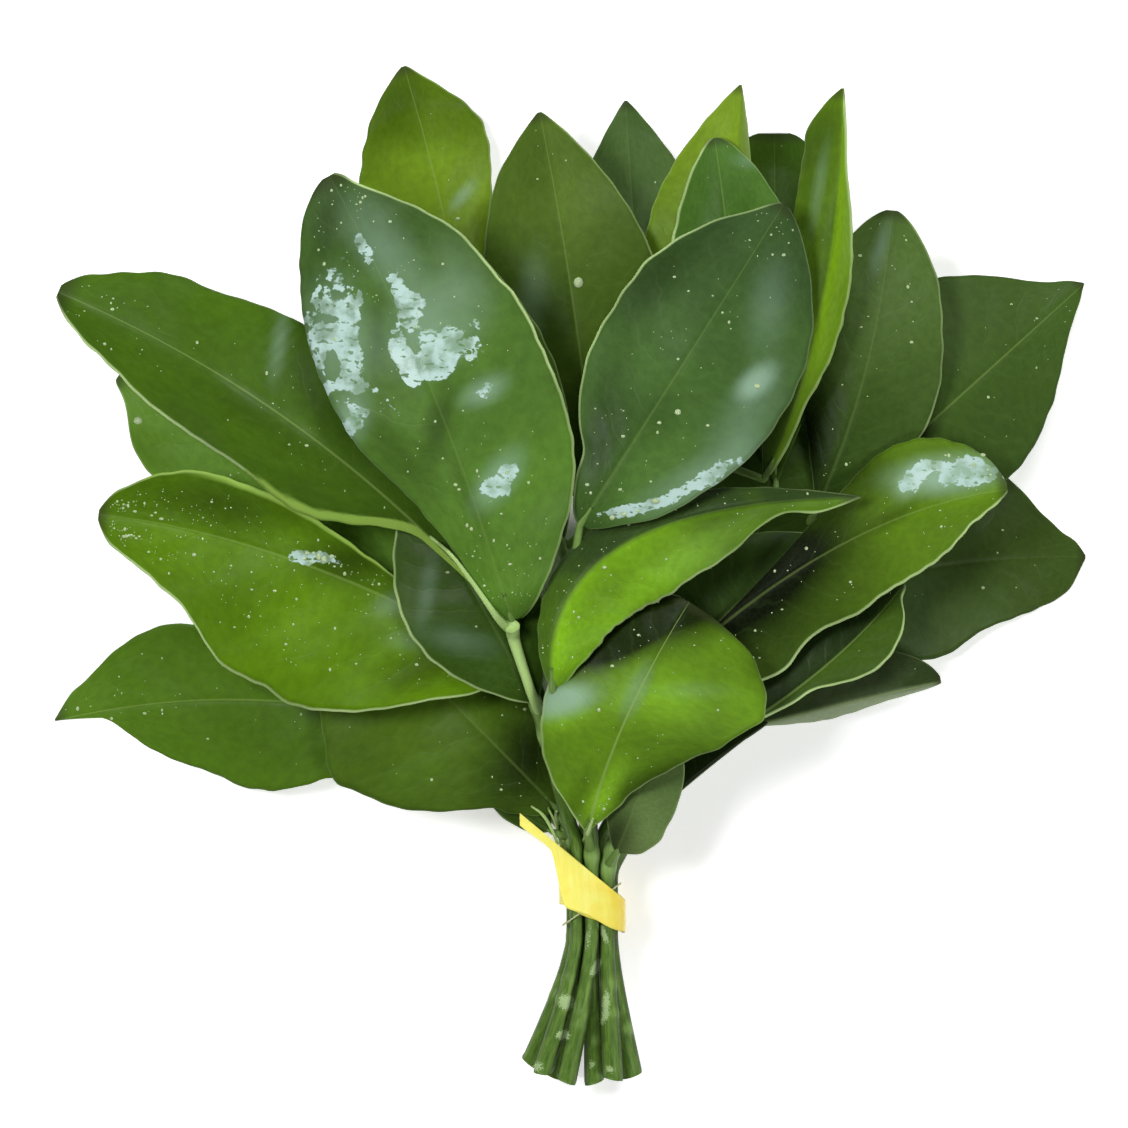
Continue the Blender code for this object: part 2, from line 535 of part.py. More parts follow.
def sprig_pieces(sprig, stem, laid):
    """The meshes of one leafy stem: the stem, then a blade and a stalk for each leaf."""
    points = np.vstack([cut_end(sprig), stem[::TUBE_STEPS], stem[-1:]])
    pieces = [tube("stem", points, stem_radius(points[:, 1]), STEM_SIDES)]
    for leaf, foot_height, lift in laid:
        pieces.append(blade_mesh(leaf, foot_height, lift))
        pieces.append(stalk_mesh(stem, leaf, foot_height, lift))
    return pieces


def tape_mesh():
    """The tape: once round the stems, over its own start, and off to the upper left as a narrow free end."""
    turn = math.radians(TAPE_LEAVES - TAPE_START) * TAPE_INNER

    def place(u, v):
        along = u * (turn + TAIL_LENGTH)
        angle = np.radians(TAPE_START) + np.minimum(along, turn) / TAPE_INNER
        off = np.maximum(along - turn, 0.0)
        over = ease((np.degrees(angle) - TAPE_GROWS) / (TAPE_GROWN - TAPE_GROWS))
        radius = TAPE_INNER + (TAPE_OUTER - TAPE_INNER) * over
        x = radius * np.cos(angle) - off * np.sin(angle)
        z = radius * np.sin(angle) + off * TAIL_RISE
        width = TAPE_WIDTH - TAPE_SPREADS * x
        width += (TAIL_WIDTH - width) * ease((off - TAIL_STARTS) / TAIL_NARROWS)
        y = TAPE_TOP - TAPE_SLANT * x - (1 - v) * width
        return NECK[0] + x, NECK[1] + y, NECK[2] + z

    return sheet("tape_band", TAPE_ROWS, 1, place, TAPE_THICK)


def thread_mesh():
    """The thread: a thin ring round the stems, slanting the other way from the tape."""
    bpy.ops.mesh.primitive_torus_add(
        major_segments=THREAD_SECTIONS,
        minor_segments=THREAD_SIDES,
        major_radius=THREAD_RING * MM,
        minor_radius=THREAD_RADIUS * MM,
        rotation=(math.pi / 2, 0.0, 0.0),
    )
    ring = bpy.context.object
    mesh = evaluated_mesh(ring)
    bpy.data.objects.remove(ring)
    middle = (NECK[0], NECK[1] + THREAD_LOWER, NECK[2])
    for vertex in mesh.vertices:
        vertex.co.y += THREAD_SLANT * vertex.co.x
        for axis in range(3):
            vertex.co[axis] += middle[axis] * MM
    return mesh


def coloured(name, colour):
    material = bpy.data.materials.new(name)
    material.use_nodes = True
    shader = material.node_tree.nodes["Principled BSDF"]
    shader.inputs["Base Color"].default_value = (*colour, 1.0)
    shader.inputs["Roughness"].default_value = ROUGHNESS
    return material


def add_node(name, mesh, collection, colour):
    node = bpy.data.objects.new(name, mesh)
    collection.objects.link(node)
    mesh.name = name
    mesh.shade_smooth()
    mesh.set_sharp_from_angle(angle=math.radians(SHARP_EDGE))
    mesh.materials.clear()
    mesh.materials.append(coloured(name, colour))


def grown_together(pieces, table):
    """One mesh from many: the first takes in the others by a union, and the table trims what it flattens."""
    node = bpy.data.objects.new("sprig", pieces[0])
    bpy.context.scene.collection.objects.link(node)
    others = bpy.data.collections.new("pieces")
    bpy.context.scene.collection.children.link(others)
    for piece in pieces[1:]:
        others.objects.link(bpy.data.objects.new("piece", piece))
    union = node.modifiers.new("Grown together", "BOOLEAN")
    union.solver = "MANIFOLD"  # EXACT leaves edges with four faces where a stalk grazes its blade
    union.operation = "UNION"
    union.operand_type = "COLLECTION"
    union.collection = others
    trim = node.modifiers.new("Flat on the table", "BOOLEAN")
    trim.solver = "MANIFOLD"
    trim.operation = "DIFFERENCE"
    trim.object = table
    mesh = evaluated_mesh(node)
    for piece in [node, *others.objects]:
        bpy.data.objects.remove(piece)
    bpy.data.collections.remove(others)
    return mesh


def table_cutter(collection):
    """A block whose top is the table's top."""
    side, depth = 0.4, 0.02
    bm = bmesh.new()
    bmesh.ops.create_cube(bm, size=1.0)
    cutter = bpy.data.objects.new("table_cutter", to_mesh("table_cutter", bm))
    cutter.scale = (side, side, depth)
    cutter.location = (0.0, 0.0, -depth / 2)
    cutter.hide_render = True
    cutter.display_type = "WIRE"
    collection.objects.link(cutter)
    return cutter


def main():
    for old in list(bpy.data.objects):
        bpy.data.objects.remove(old)
    bunch = bpy.data.collections.new("pomelo_leaf_bunch")
    cutters = bpy.data.collections.new("cutters")
    for collection in (bunch, cutters):
        bpy.context.scene.collection.children.link(collection)
    table = table_cutter(cutters)
    for sprig, stem, laid in lay_bunch():
        mesh = grown_together(sprig_pieces(sprig, stem, laid), table)
        add_node(sprig.name, mesh, bunch, LEAF_GREENS[sprig.name])
    add_node("tape_band", tape_mesh(), bunch, TAPE_YELLOW)
    add_node("tie_thread", thread_mesh(), bunch, THREAD_PALE)


main()
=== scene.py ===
"""How the bunch of pomelo leaves looks: each blade, stem and stalk, the tape, the thread and the water.

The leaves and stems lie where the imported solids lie, because they are laid down here in the same way: one
after another, each just clear of the pile under it. Sizes and places are in millimetres and slopes in
degrees, unless a line says more.
"""

import functools
import math
from typing import NamedTuple

import bpy
import numpy as np
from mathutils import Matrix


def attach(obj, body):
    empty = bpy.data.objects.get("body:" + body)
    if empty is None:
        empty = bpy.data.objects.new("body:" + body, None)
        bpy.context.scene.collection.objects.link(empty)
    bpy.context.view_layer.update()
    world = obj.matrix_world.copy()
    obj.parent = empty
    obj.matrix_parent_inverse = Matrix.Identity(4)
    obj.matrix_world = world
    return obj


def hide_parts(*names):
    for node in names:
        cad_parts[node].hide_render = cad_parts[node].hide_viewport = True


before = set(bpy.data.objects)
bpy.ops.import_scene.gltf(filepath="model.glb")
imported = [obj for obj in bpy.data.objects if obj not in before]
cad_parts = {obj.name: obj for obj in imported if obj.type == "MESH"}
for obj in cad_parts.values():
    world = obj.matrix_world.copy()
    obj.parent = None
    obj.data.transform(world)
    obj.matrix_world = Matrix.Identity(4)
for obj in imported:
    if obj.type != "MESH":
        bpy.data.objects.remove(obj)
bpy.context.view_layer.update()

MM = 0.001  # metres in a millimetre

BLADE_THICK = 0.8  # of the solids
ROUND_ENDS = 0.075  # how strongly the rows crowd towards both ends of a blade
FOLD_STRAIGHT = 0.4  # share of a half's slope that is a straight fold; the rest grows with the square
LOWEST = 0.3  # a blade's middle comes no nearer to the table than this
PRESSED = 6.0  # how far the table bends up the tips of the leaves that carry the bunch
FREE = -0.5  # any other leaf stays this far off the table
GAIN_STEPS, GAIN_ROUNDING = 101, 6
LEAST_REACH = 0.25  # no part of a half is narrower than this share of its arch

STEM_NECK_RADIUS, STEM_CUT_RADIUS, STEM_TIP_RADIUS = 1.85, 2.65, 1.5
STEM_THINS = 60.0  # past the tie a stem thins over this length
STEM_STEP = 1.0  # stems are laid down in steps of this length
TUBE_STEPS = 6  # and drawn by way of every sixth of them
CUT_SECTIONS = 5
FLARE_POWER = 1.25
STALK_RADIUS = 1.2
STALK_LENGTH = 9.0
STALK_RISE = 2.2  # a blade's foot above the middle of its stem
STALK_BOW = 0.3
SUNK = 0.06  # a stalk runs this share of the blade into it

NECK = (5.7, -82.0, 16.0)  # middle of the tied bundle
NECK_RING, NECK_PLACES = 5.0, 7  # one stem in the middle and seven round it on this radius
NECK_BELOW = 13.5  # the stems run side by side this far below the middle of the tie
NECK_ABOVE = 9.0  # and this far above it, measured along the slant of the tape
CUT_Y = -132.5  # the lowest cut end

CELL, CELLS = 1.0, 320  # the pile is kept as heights on a square grid
CLEAR = 1.25  # from the middle of a blade down to whatever it lies on
STEM_CLEAR = 0.9
STEMS_PART = 9.0  # past the tie the stems lie side by side for this far
STEM_ASIDE, ASIDE_GROWS = 3.5, 40.0  # a stem also clears what lies this near beside it, once this far on
LAY_ROWS, LAY_COLUMNS, ASIDE_COLUMNS = 181, 111, 21
BENDING = 150.0  # a lifted blade or stem curves down again on about this radius
FOOT_GIVES, FOOT_REACH = 0.55, 45.0  # a blade's foot rises with it by this share, less for a lift further out

TAPE_INNER, TAPE_OUTER = 8.4, 9.3
TAPE_TOP, TAPE_SLANT = 4.3, 0.83  # its upper edge above the middle of the tie, and how it falls to the right
TAPE_WIDTH, TAPE_SPREADS = 11.9, 0.38  # its width at the middle, and how that grows to the left
TAPE_START, TAPE_LEAVES = -300.0, 104.0  # where the tape begins and where it leaves the bundle
TAPE_GROWS, TAPE_GROWN = -10.0, 45.0  # between these it climbs over its own start
TAIL_LENGTH, TAIL_STARTS, TAIL_NARROWS, TAIL_WIDTH, TAIL_RISE = 17.0, 4.5, 4.5, 3.0, 0.05
THREAD_RING, THREAD_SLANT, THREAD_LOWER = 7.5, 0.72, -4.0


class Leaf(NamedTuple):
    """One blade seen from above. Its left and right are taken looking from foot to tip."""

    foot: tuple
    middle: tuple  # the midrib passes here halfway
    tip: tuple
    halves: tuple  # widest reach of the left and right halves
    bellies: tuple = (0.5, 0.5)  # where along the blade each half is widest
    ends: tuple = (0.8, 0.8)  # at foot and tip: the less, the blunter
    tilts: tuple = (-8.0, -8.0)  # slope of each half out to its margin, down where negative
    pitch: float = 0.0  # slope of the midrib at the foot
    drop: float = 0.05  # fall from foot to tip, as a share of the length
    wave: tuple = (1.0, 2.0, 0.0)  # of the margin: height, how many, and where they start
    press: float = FREE
    margins: tuple = ((), ())  # what the outline adds to each half: share of the length, reach gained


class Sprig(NamedTuple):
    """A stem with its leaves, in the order in which they are laid down."""

    name: str
    place: object  # which place round the tie, clockwise from the top, or None for the middle
    cut: tuple  # middle of the cut end: across, up, along
    slope: float  # rise of the stem past the tie
    route: tuple  # the stem past the tie, seen from above
    leaves: tuple
    late: tuple = ()  # leaves that are laid on top of everything


SPRIGS = (
    Sprig(
        "low_right_stem", 3, (6.6, 2.35, -132.0), -0.02,
        ((9.0, -66.0), (18.0, -57.0), (32.0, -43.0), (52.5, -12.5)),
        (
            Leaf((57.0, -7.0), (96.5, 2.0), (135.0, 4.5), (28.1, 27.6), (0.55, 0.50), (0.8, 1.1),
                 (6, -6), 0.0, 0.20, (1.2, 1.5, 0.2), PRESSED,
                 margins=(((0.75, -0.7), (0.85, -2.7), (0.92, -1.2), (0.97, 1.4)), ((0.36, -2),
                           (0.48, -4.4), (0.59, -7.8), (0.66, -7.4), (0.75, -4.2), (0.92, 4.1),
                           (0.95, 4.5)))),
            Leaf((34.0, -43.5), (64.0, -35.5), (97.0, -28.0), (12.0, 3.9), (0.72, 0.5), (0.8, 0.6),
                 (8, -72), 0.05, 0.0,
                 margins=((), ((0.28, -2.6), (0.55, -0.6), (0.79, -1.1)))),
        ),
    ),
    Sprig(
        "low_left_stem", 5, (-10.4, 6.0, -127.6), -0.02,
        ((-2.5, -65.0), (-9.0, -56.5), (-18.0, -44.5), (-31.0, -12.0)),
        (
            Leaf((-34.0, -7.0), (-75.5, 22.0), (-118.0, 52.0), (13.5, 13.5), (0.55, 0.5), (0.8, 0.5),
                 (-5, 5), 0.0, 0.04,
                 margins=(((0.8, 5.5), (0.88, 3.9), (0.93, -0.8), (0.97, -1.6)), ())),
            Leaf((-21.0, -44.5), (-78.0, -33.0), (-135.0, -38.5), (25.7, 21.3), (0.50, 0.68), (0.8, 1.2),
                 (-8, 10), -0.04, 0.185, (1.5, 2.0, 0.3), PRESSED,
                 margins=(((0.35, -4.3), (0.44, -2.5), (0.5, -2.1), (0.57, -2.4), (0.64, -4.3),
                           (0.74, -3.3), (0.81, -3.4), (0.87, -6.1), (0.91, -5.1), (0.96, -1.8)),
                           ((0.67, -1.6), (0.71, -0.6), (0.91, -0.3), (0.96, 2)))),
            Leaf((-5.0, -67.0), (-14.0, -61.5), (-24.0, -53.5), (3.6, 8.8), (0.5, 0.5), (0.8, 0.6),
                 (-20, -8)),
            Leaf((-3.0, -61.5), (-34.0, -30.0), (-66.5, 1.0), (32.5, 23.4), (0.47, 0.5), (0.8, 0.7),
                 (-9, -9), 0.12, 0.02,
                 margins=(((0.15, -7.4), (0.2, -5.1), (0.33, -1), (0.45, 1.1), (0.51, 3.8), (0.55, 4.6),
                           (0.64, 0.9), (0.7, -0.5)), ())),
        ),
    ),
    Sprig(
        "right_back_stem", 2, (16.2, 8.6, -130.8), 0.02,
        ((15.5, -68.0), (24.0, -52.0), (38.5, -27.0), (52.0, 1.0), (62.0, 12.0)),
        (
            Leaf((43.0, -12.0), (50.5, 18.0), (57.0, 50.5), (15.6, 15.6), pitch=0.1),
            Leaf((53.5, 22.0), (53.5, 71.0), (53.5, 115.5), (18.2, 17.2), (0.6, 0.6), (0.8, 0.36),
                 (-8, -10), 0.0, 0.26, press=PRESSED),
            Leaf((72.5, 20.0), (103.5, 48.0), (134.5, 76.0), (29.9, 24.7), (0.5, 0.45), (0.8, 1.25),
                 (-8, -8), 0.0, 0.20, (1.2, 1.5, 0.0),
                 margins=(((0.79, 1.4), (0.89, 0.4), (0.98, 1.7)), ((0.41, -0.2), (0.6, -1.7),
                           (0.82, -1.5), (0.95, 0.6)))),
            Leaf((63.5, 15.5), (77.0, 53.5), (84.0, 95.0), (18.2, 20.3), (0.6, 0.5), (0.8, 0.6),
                 (-14, -10), 0.12, 0.04,
                 margins=((), ((0.4, 0), (0.66, -1.3), (0.82, -0.2), (0.94, -0.6)))),
        ),
    ),
    Sprig(
        "top_back_stem", 4, (-4.2, 2.35, -131.0), 0.0,
        ((4.0, -66.0), (5.5, -50.0), (11.0, -20.0), (20.5, 12.0), (33.0, 31.0)),
        (
            Leaf((21.5, 33.5), (17.5, 79.0), (14.5, 124.0), (17.2, 20.3), (0.5, 0.5), (0.8, 0.9),
                 (-10, -10), 0.0, 0.32, press=PRESSED),
            Leaf((36.0, 37.5), (41.0, 83.0), (44.5, 127.5), (21.8, 5.7), (0.5, 0.5), (0.8, 0.9),
                 (-10, -60), 0.10, 0.0),
            Leaf((43.0, 33.5), (42.0, 74.0), (37.5, 113.5), (16.6, 18.2), (0.47, 0.52), (0.8, 0.65),
                 (-20, -10), 0.12, 0.02),
            Leaf((50.5, 24.5), (66.0, 73.5), (71.0, 126.5), (12.5, 7.8), (0.5, 0.45), (0.8, 0.9),
                 (-30, -52), 0.15, 0.0,
                 margins=(((0.69, 0.2), (0.85, 3.4), (0.9, 5.2), (0.97, 2.5)), ((0.21, -3.2), (0.34, -1.7),
                           (0.54, -1.2), (0.8, -2.9)))),
        ),
    ),
    Sprig(
        "top_left_stem", None, (6.4, 9.0, -132.5), 0.03,
        ((5.5, -66.0), (4.0, -48.5), (2.5, -17.0), (-3.0, 11.0), (-16.5, 38.0)),
        (
            Leaf((-20.0, 6.0), (-39.0, 35.0), (-57.0, 66.0), (18.2, 18.2), pitch=0.1),
            Leaf((-23.0, 45.0), (-32.0, 90.0), (-43.5, 133.0), (22.9, 15.1), (0.52, 0.57), (0.8, 0.8),
                 (-8, -10), 0.0, 0.30, press=PRESSED,
                 margins=(((0.72, -0.6), (0.89, 1)), ((0.43, -5.1), (0.62, -0.5), (0.74, 3.2), (0.79, 4),
                           (0.84, 3.3), (0.96, 0)))),
            Leaf((7.5, 14.0), (1.0, 69.0), (-8.0, 120.5), (22.4, 23.9), (0.5, 0.47), (0.8, 0.85),
                 (-8, -8), 0.10, 0.05,
                 margins=(((0.69, 1.1), (0.84, 2.8), (0.88, 2.6)), ())),
            Leaf((-2.0, 7.5), (-13.5, 47.5), (-26.5, 87.0), (10.4, 11.4), (0.5, 0.5), (0.8, 1.1),
                 (-10, -10), 0.10, 0.05),
        ),
    ),
    Sprig(
        "right_front_stem", 1, (11.2, 14.2, -131.5), 0.15,
        ((13.0, -66.0), (17.5, -56.0), (21.5, -46.0), (22.5, -36.0)),
        (
            Leaf((17.5, -66.5), (32.5, -52.0), (51.5, -38.5), (9.1, 4.2), (0.5, 0.5), (0.8, 0.7),
                 (-10, -35), 0.0, 0.05,
                 margins=((), ((0.38, -3.8), (0.5, -4), (0.73, -3.2)))),
            Leaf((12.0, -72.5), (17.5, -58.0), (24.5, -36.5), (6.8, 8.8), (0.5, 0.55), (0.8, 0.7),
                 (-10, -25), 0.10, 0.05,
                 margins=((), ((0.08, 3.6), (0.18, 3.8), (0.46, 1.6), (0.79, 2)))),
            Leaf((34.0, -46.0), (64.5, -25.5), (87.0, -2.5), (13.0, 11.2), (0.5, 0.66), (0.8, 0.7),
                 (-18, -14), 0.10, 0.04,
                 margins=((), ((0.38, -4.7), (0.42, -5.9), (0.47, -5.8), (0.64, -1.9), (0.74, -1),
                           (0.9, -1.2), (0.94, -3.4)))),
            Leaf((28.0, -27.0), (43.0, -8.0), (67.5, 9.0), (15.6, 15.6), pitch=0.1, drop=0.0),
            Leaf((21.0, -30.0), (67.5, 6.0), (114.0, 22.0), (18.2, 21.3), (0.8, 0.4), (0.7, 0.72),
                 (-20, -8), 0.12, 0.04, (1.2, 2.5, 0.0),
                 margins=(((0.59, 0.1), (0.71, 1), (0.89, -1.6)), ((0.25, 0.1), (0.32, -4), (0.38, -5),
                           (0.5, -2.5), (0.54, -3.2), (0.59, -2.8), (0.74, -0.4), (0.82, -0.3),
                           (0.87, -1.6)))),
        ),
    ),
    Sprig(
        "left_front_stem", 6, (-7.2, 12.6, -130.0), 0.30,
        ((0.5, -66.0), (-2.0, -59.0), (-6.5, -42.5), (-10.5, -28.5), (-15.2, -14.5)),
        (
            Leaf((-11.5, -24.5), (-70.0, 3.0), (-123.0, 15.5), (36.9, 17.2), (0.53, 0.70), (0.8, 0.75),
                 (-8, 14), 0.05, 0.08, (1.5, 2.0, 0.5),
                 margins=(((0.07, 4.9), (0.12, 3.4), (0.2, 4.1), (0.27, 3.7), (0.41, 1), (0.48, -3.2),
                           (0.61, -4.3), (0.71, -9.6), (0.75, -10.7), (0.87, -7.3), (0.98, 0.3)),
                           ((0.68, -2.1), (0.77, -1), (0.93, -0.3), (0.98, 0.9)))),
            Leaf((-9.0, -33.5), (-24.5, -5.5), (-41.0, 22.5), (19.8, 15.6), (0.5, 0.5), (0.8, 0.7),
                 (-10, -10), 0.10, 0.02),
            Leaf((-15.0, -13.5), (-69.0, 37.0), (-133.5, 73.5), (15.1, 24.4), (0.62, 0.58), (0.8, 0.6),
                 (-28, -10), 0.12, 0.06, (1.2, 2.5, 0.0),
                 margins=(((0.16, -4.4), (0.23, -5.4), (0.28, -3), (0.33, 1.1), (0.4, 5), (0.45, 5.1),
                           (0.56, 2.2), (0.78, 2.4), (0.85, 1), (0.94, 1.2)), ((0.61, -1.6), (0.76, -3.3),
                           (0.83, -0.6), (0.92, -1.5)))),
        ),
        (
            Leaf((-15.0, -12.5), (-35.5, 47.0), (-62.5, 103.5), (25.7, 32.2), (0.60, 0.48), (0.55, 0.65),
                 (-16, -9), 0.25, -0.10,
                 margins=(((0.18, -4.1), (0.31, -3.9), (0.45, -0.4), (0.84, -0.2), (0.98, 1.5)),
                           ((0.03, -2.5), (0.13, -2.4), (0.2, -0.5), (0.29, 0.2), (0.49, -1.6),
                           (0.62, -0.9), (0.67, -1.9), (0.78, -0.5), (0.95, -4)))),
        ),
    ),
    Sprig(
        "middle_front_stem", 0, (-1.0, 15.0, -132.2), 0.27,
        ((5.2, -67.0), (4.0, -60.0), (1.5, -43.0), (-1.0, -27.5), (-0.5, -9.5), (1.5, 6.5)),
        (
            Leaf((4.5, -67.5), (14.0, -38.5), (31.0, -7.0), (22.9, 33.3), (0.55, 0.70), (0.8, 0.5),
                 (-14, -10), 0.35, 0.0,
                 margins=(((0.08, -0.5), (0.22, 0.2), (0.42, -0.9)), ((0.11, 1.8), (0.18, 0.5),
                           (0.26, -2.2), (0.49, -6.3), (0.57, -4.9), (0.65, -5.2), (0.76, -0.5),
                           (0.92, 2.4), (0.97, 5.3)))),
            Leaf((-4.5, -30.0), (13.0, 7.0), (76.0, 20.0), (7.8, 15.6), (0.5, 0.40), (0.7, 0.95),
                 (-35, -18), 0.20, 0.0,
                 margins=((), ((0.05, -1), (0.13, 0), (0.24, -0.8), (0.43, 0.6), (0.57, 3), (0.66, 2.5),
                           (0.71, 3.1), (0.77, 1.8), (0.85, -2.6), (0.89, -1.6), (0.93, 1.4)))),
            Leaf((2.5, 12.5), (29.0, 54.0), (55.5, 96.0), (22.4, 30.2), (0.5, 0.5), (0.65, 0.70),
                 (-12, -14), 0.15, 0.0,
                 margins=(((0.18, -5.2), (0.21, -3), (0.26, -1.3), (0.39, 0.7), (0.54, 0.9), (0.69, 2.5),
                           (0.86, 1.2), (0.92, -0.6), (0.96, -0.9)), ((0.06, -1.4), (0.13, -0.3),
                           (0.24, -1.7), (0.53, -1.4), (0.75, 0.5)))),
        ),
    ),
)


def ease(x):
    """Nought to one with level ends."""
    x = np.clip(x, 0.0, 1.0)
    return x * x * (3 - 2 * x)


def unit(vectors):
    """The same directions, each of length one."""
    return vectors / np.linalg.norm(vectors, axis=-1, keepdims=True)


def evened(values, passes):
    """The values after many passes of a quarter, a half and a quarter of neighbours, with the ends kept."""
    values = np.array(values, float)
    for _ in range(passes):
        values[1:-1] = (values[:-2] + 2 * values[1:-1] + values[2:]) / 4
    return values


def run_along(points):
    """How far along a path each of its points is."""
    return np.concatenate([[0], np.cumsum(np.linalg.norm(np.diff(points, axis=0), axis=1))])


def at_distances(points, along, even):
    """The points of a path at the given distances along it."""
    return np.stack([np.interp(even, along, values) for values in points.T], axis=1)


def parabola(first, through, last, t):
    """From first to last by way of a given point halfway."""
    first, through, last = (np.asarray(point, float) for point in (first, through, last))
    handle = 2 * through - (first + last) / 2
    return (1 - t) ** 2 * first + 2 * t * (1 - t) * handle + t**2 * last


def midrib(leaf, t):
    """Point and leftward unit vector of the midrib, seen from above."""
    t = np.asarray(t, float)[..., None]
    point = parabola(leaf.foot, leaf.middle, leaf.tip, t)
    along = unit(parabola(leaf.foot, leaf.middle, leaf.tip, t + 1e-4) - point)
    return point, np.stack([-along[..., 1], along[..., 0]], axis=-1)


def length_of(leaf):
    points = midrib(leaf, np.linspace(0, 1, 41))[0]
    return float(np.linalg.norm(np.diff(points, axis=0), axis=1).sum())


@functools.cache
def margin_gain(leaf, side):
    """The reach that one half gains at even steps from foot to tip, with the table's corners rounded."""
    shares, gains = zip((0.0, 0.0), *leaf.margins[side], (1.0, 0.0))
    return evened(np.interp(np.linspace(0, 1, GAIN_STEPS), shares, gains), GAIN_ROUNDING)


def half_width(leaf, side, t):
    """Reach of one half of the blade: a sine arch, its top moved to the belly, and what its margin gains."""
    power = math.log(0.5) / math.log(leaf.bellies[side])
    arch = np.sin(math.pi * np.clip(t, 0.0, 1.0) ** power)
    reach = leaf.halves[side] * arch ** (leaf.ends[0] + (leaf.ends[1] - leaf.ends[0]) * t)
    gain = np.interp(t, np.linspace(0, 1, GAIN_STEPS), margin_gain(leaf, side))
    return np.maximum(reach + gain, LEAST_REACH * reach)


def blade(leaf, foot_height, lift, t, across):
    """Points of the blade's middle surface: t runs from foot to tip, across from -1 (right) to 1 (left)."""
    point, leftward = midrib(leaf, t)
    on_left = across > 0
    half = np.where(on_left, half_width(leaf, 0, t), half_width(leaf, 1, t))
    slope = np.tan(np.radians(np.where(on_left, *leaf.tilts)))
    out = np.abs(across)
    fold = half * slope * (FOLD_STRAIGHT * out + (1 - FOLD_STRAIGHT) * out**2)
    height, count, start = leaf.wave
    wave = height * np.sin(2 * math.pi * (count * t + start) + across) * out**2
    wave = wave * half / max(leaf.halves)
    rib = length_of(leaf) * (leaf.pitch * t - (leaf.pitch + leaf.drop) * t**2)
    x = point[..., 0] + leftward[..., 0] * half * across
    y = point[..., 1] + leftward[..., 1] * half * across
    return x, y, foot_height + rib + lift(t) + fold + wave


class Pile:
    """The highest point of what has been laid down so far, on a grid seen from above."""

    def __init__(self):
        self.top = np.zeros((CELLS, CELLS))

    @staticmethod
    def cell(x, y):
        return tuple(np.clip((v / CELL + CELLS / 2).astype(int), 0, CELLS - 1) for v in (x, y))

    def under(self, x, y):
        """Height of the pile, with each cell as high as the highest cell beside it."""
        wide = self.top
        for axis in (0, 1):
            wide = np.maximum(wide, np.maximum(np.roll(wide, 1, axis), np.roll(wide, -1, axis)))
        return wide[self.cell(x, y)]

    def lay(self, x, y, z):
        np.maximum.at(self.top, self.cell(x, y), z)


def raised(along, need, gives=0.0):
    """Lift along a blade or stem held at its start: it climbs to each need and curves down after it."""
    target = along[None, :]
    asked = np.maximum(need, 0.0)[None, :]
    share = np.clip(along[:, None] / np.maximum(target, 1e-6), 0.0, 1.0)
    foot = gives * np.clip(1 - target / FOOT_REACH, 0.0, 1.0)
    climb = asked * (foot + (1 - foot) * share * (2 - share))
    fall = asked - np.maximum(along[:, None] - target, 0.0) ** 2 / (2 * BENDING)
    return np.maximum(np.minimum(climb, fall), 0.0).max(axis=1)


def lay_blade(pile, leaf, stem):
    """Lays a blade on the pile. Returns the leaf, the height of its foot, and its lift as a function of t."""
    foot_height = float(stalk_start(stem, leaf)[2]) + STALK_RISE
    t = np.linspace(0, 1, LAY_ROWS)
    across = np.linspace(-1, 1, LAY_COLUMNS)[None, :]
    x, y, z = blade(leaf, foot_height, lambda share: 0.0, t[:, None], across)
    below = pile.under(x, y)
    room = np.where(below > 0, CLEAR, LOWEST - leaf.press)
    lift = raised(t * length_of(leaf), (below + room - z).max(axis=1), FOOT_GIVES)
    pile.lay(x, y, np.maximum(z + lift[:, None], LOWEST) + BLADE_THICK / 2)
    return leaf, foot_height, lambda share: np.interp(share, t, lift)


def smooth_route(points):
    """Evenly spaced points on a smooth curve through the given ones."""
    points = np.asarray(points, float)
    padded = np.vstack([2 * points[0] - points[1], points, 2 * points[-1] - points[-2]])
    t = np.linspace(0, 1, 40, endpoint=False)[:, None]
    curve = []
    for a, b, c, d in zip(padded, padded[1:], padded[2:], padded[3:]):
        curve.append(b + 0.5 * t * (c - a + t * (2 * a - 5 * b + 4 * c - d + t * (3 * (b - c) + d - a))))
    curve = np.vstack(curve + [points[-1:]])
    along = run_along(curve)
    return at_distances(curve, along, np.linspace(0, along[-1], int(round(along[-1] / STEM_STEP)) + 1))


def neck_place(sprig):
    """Where a stem passes the tie, across and up."""
    if sprig.place is None:
        return NECK[0], NECK[2]
    angle = math.pi / 2 - 2 * math.pi * sprig.place / NECK_PLACES
    return NECK[0] + NECK_RING * math.cos(angle), NECK[2] + NECK_RING * math.sin(angle)


def stem_radius(y):
    """Thick at the cut end, thinner at the tie and at the last leaves."""
    near = NECK[1] - NECK_BELOW
    below = ease((near - y) / (near - CUT_Y)) * (STEM_CUT_RADIUS - STEM_NECK_RADIUS)
    above = ease((y - NECK[1] - NECK_ABOVE) / STEM_THINS) * (STEM_TIP_RADIUS - STEM_NECK_RADIUS)
    return STEM_NECK_RADIUS + below + above


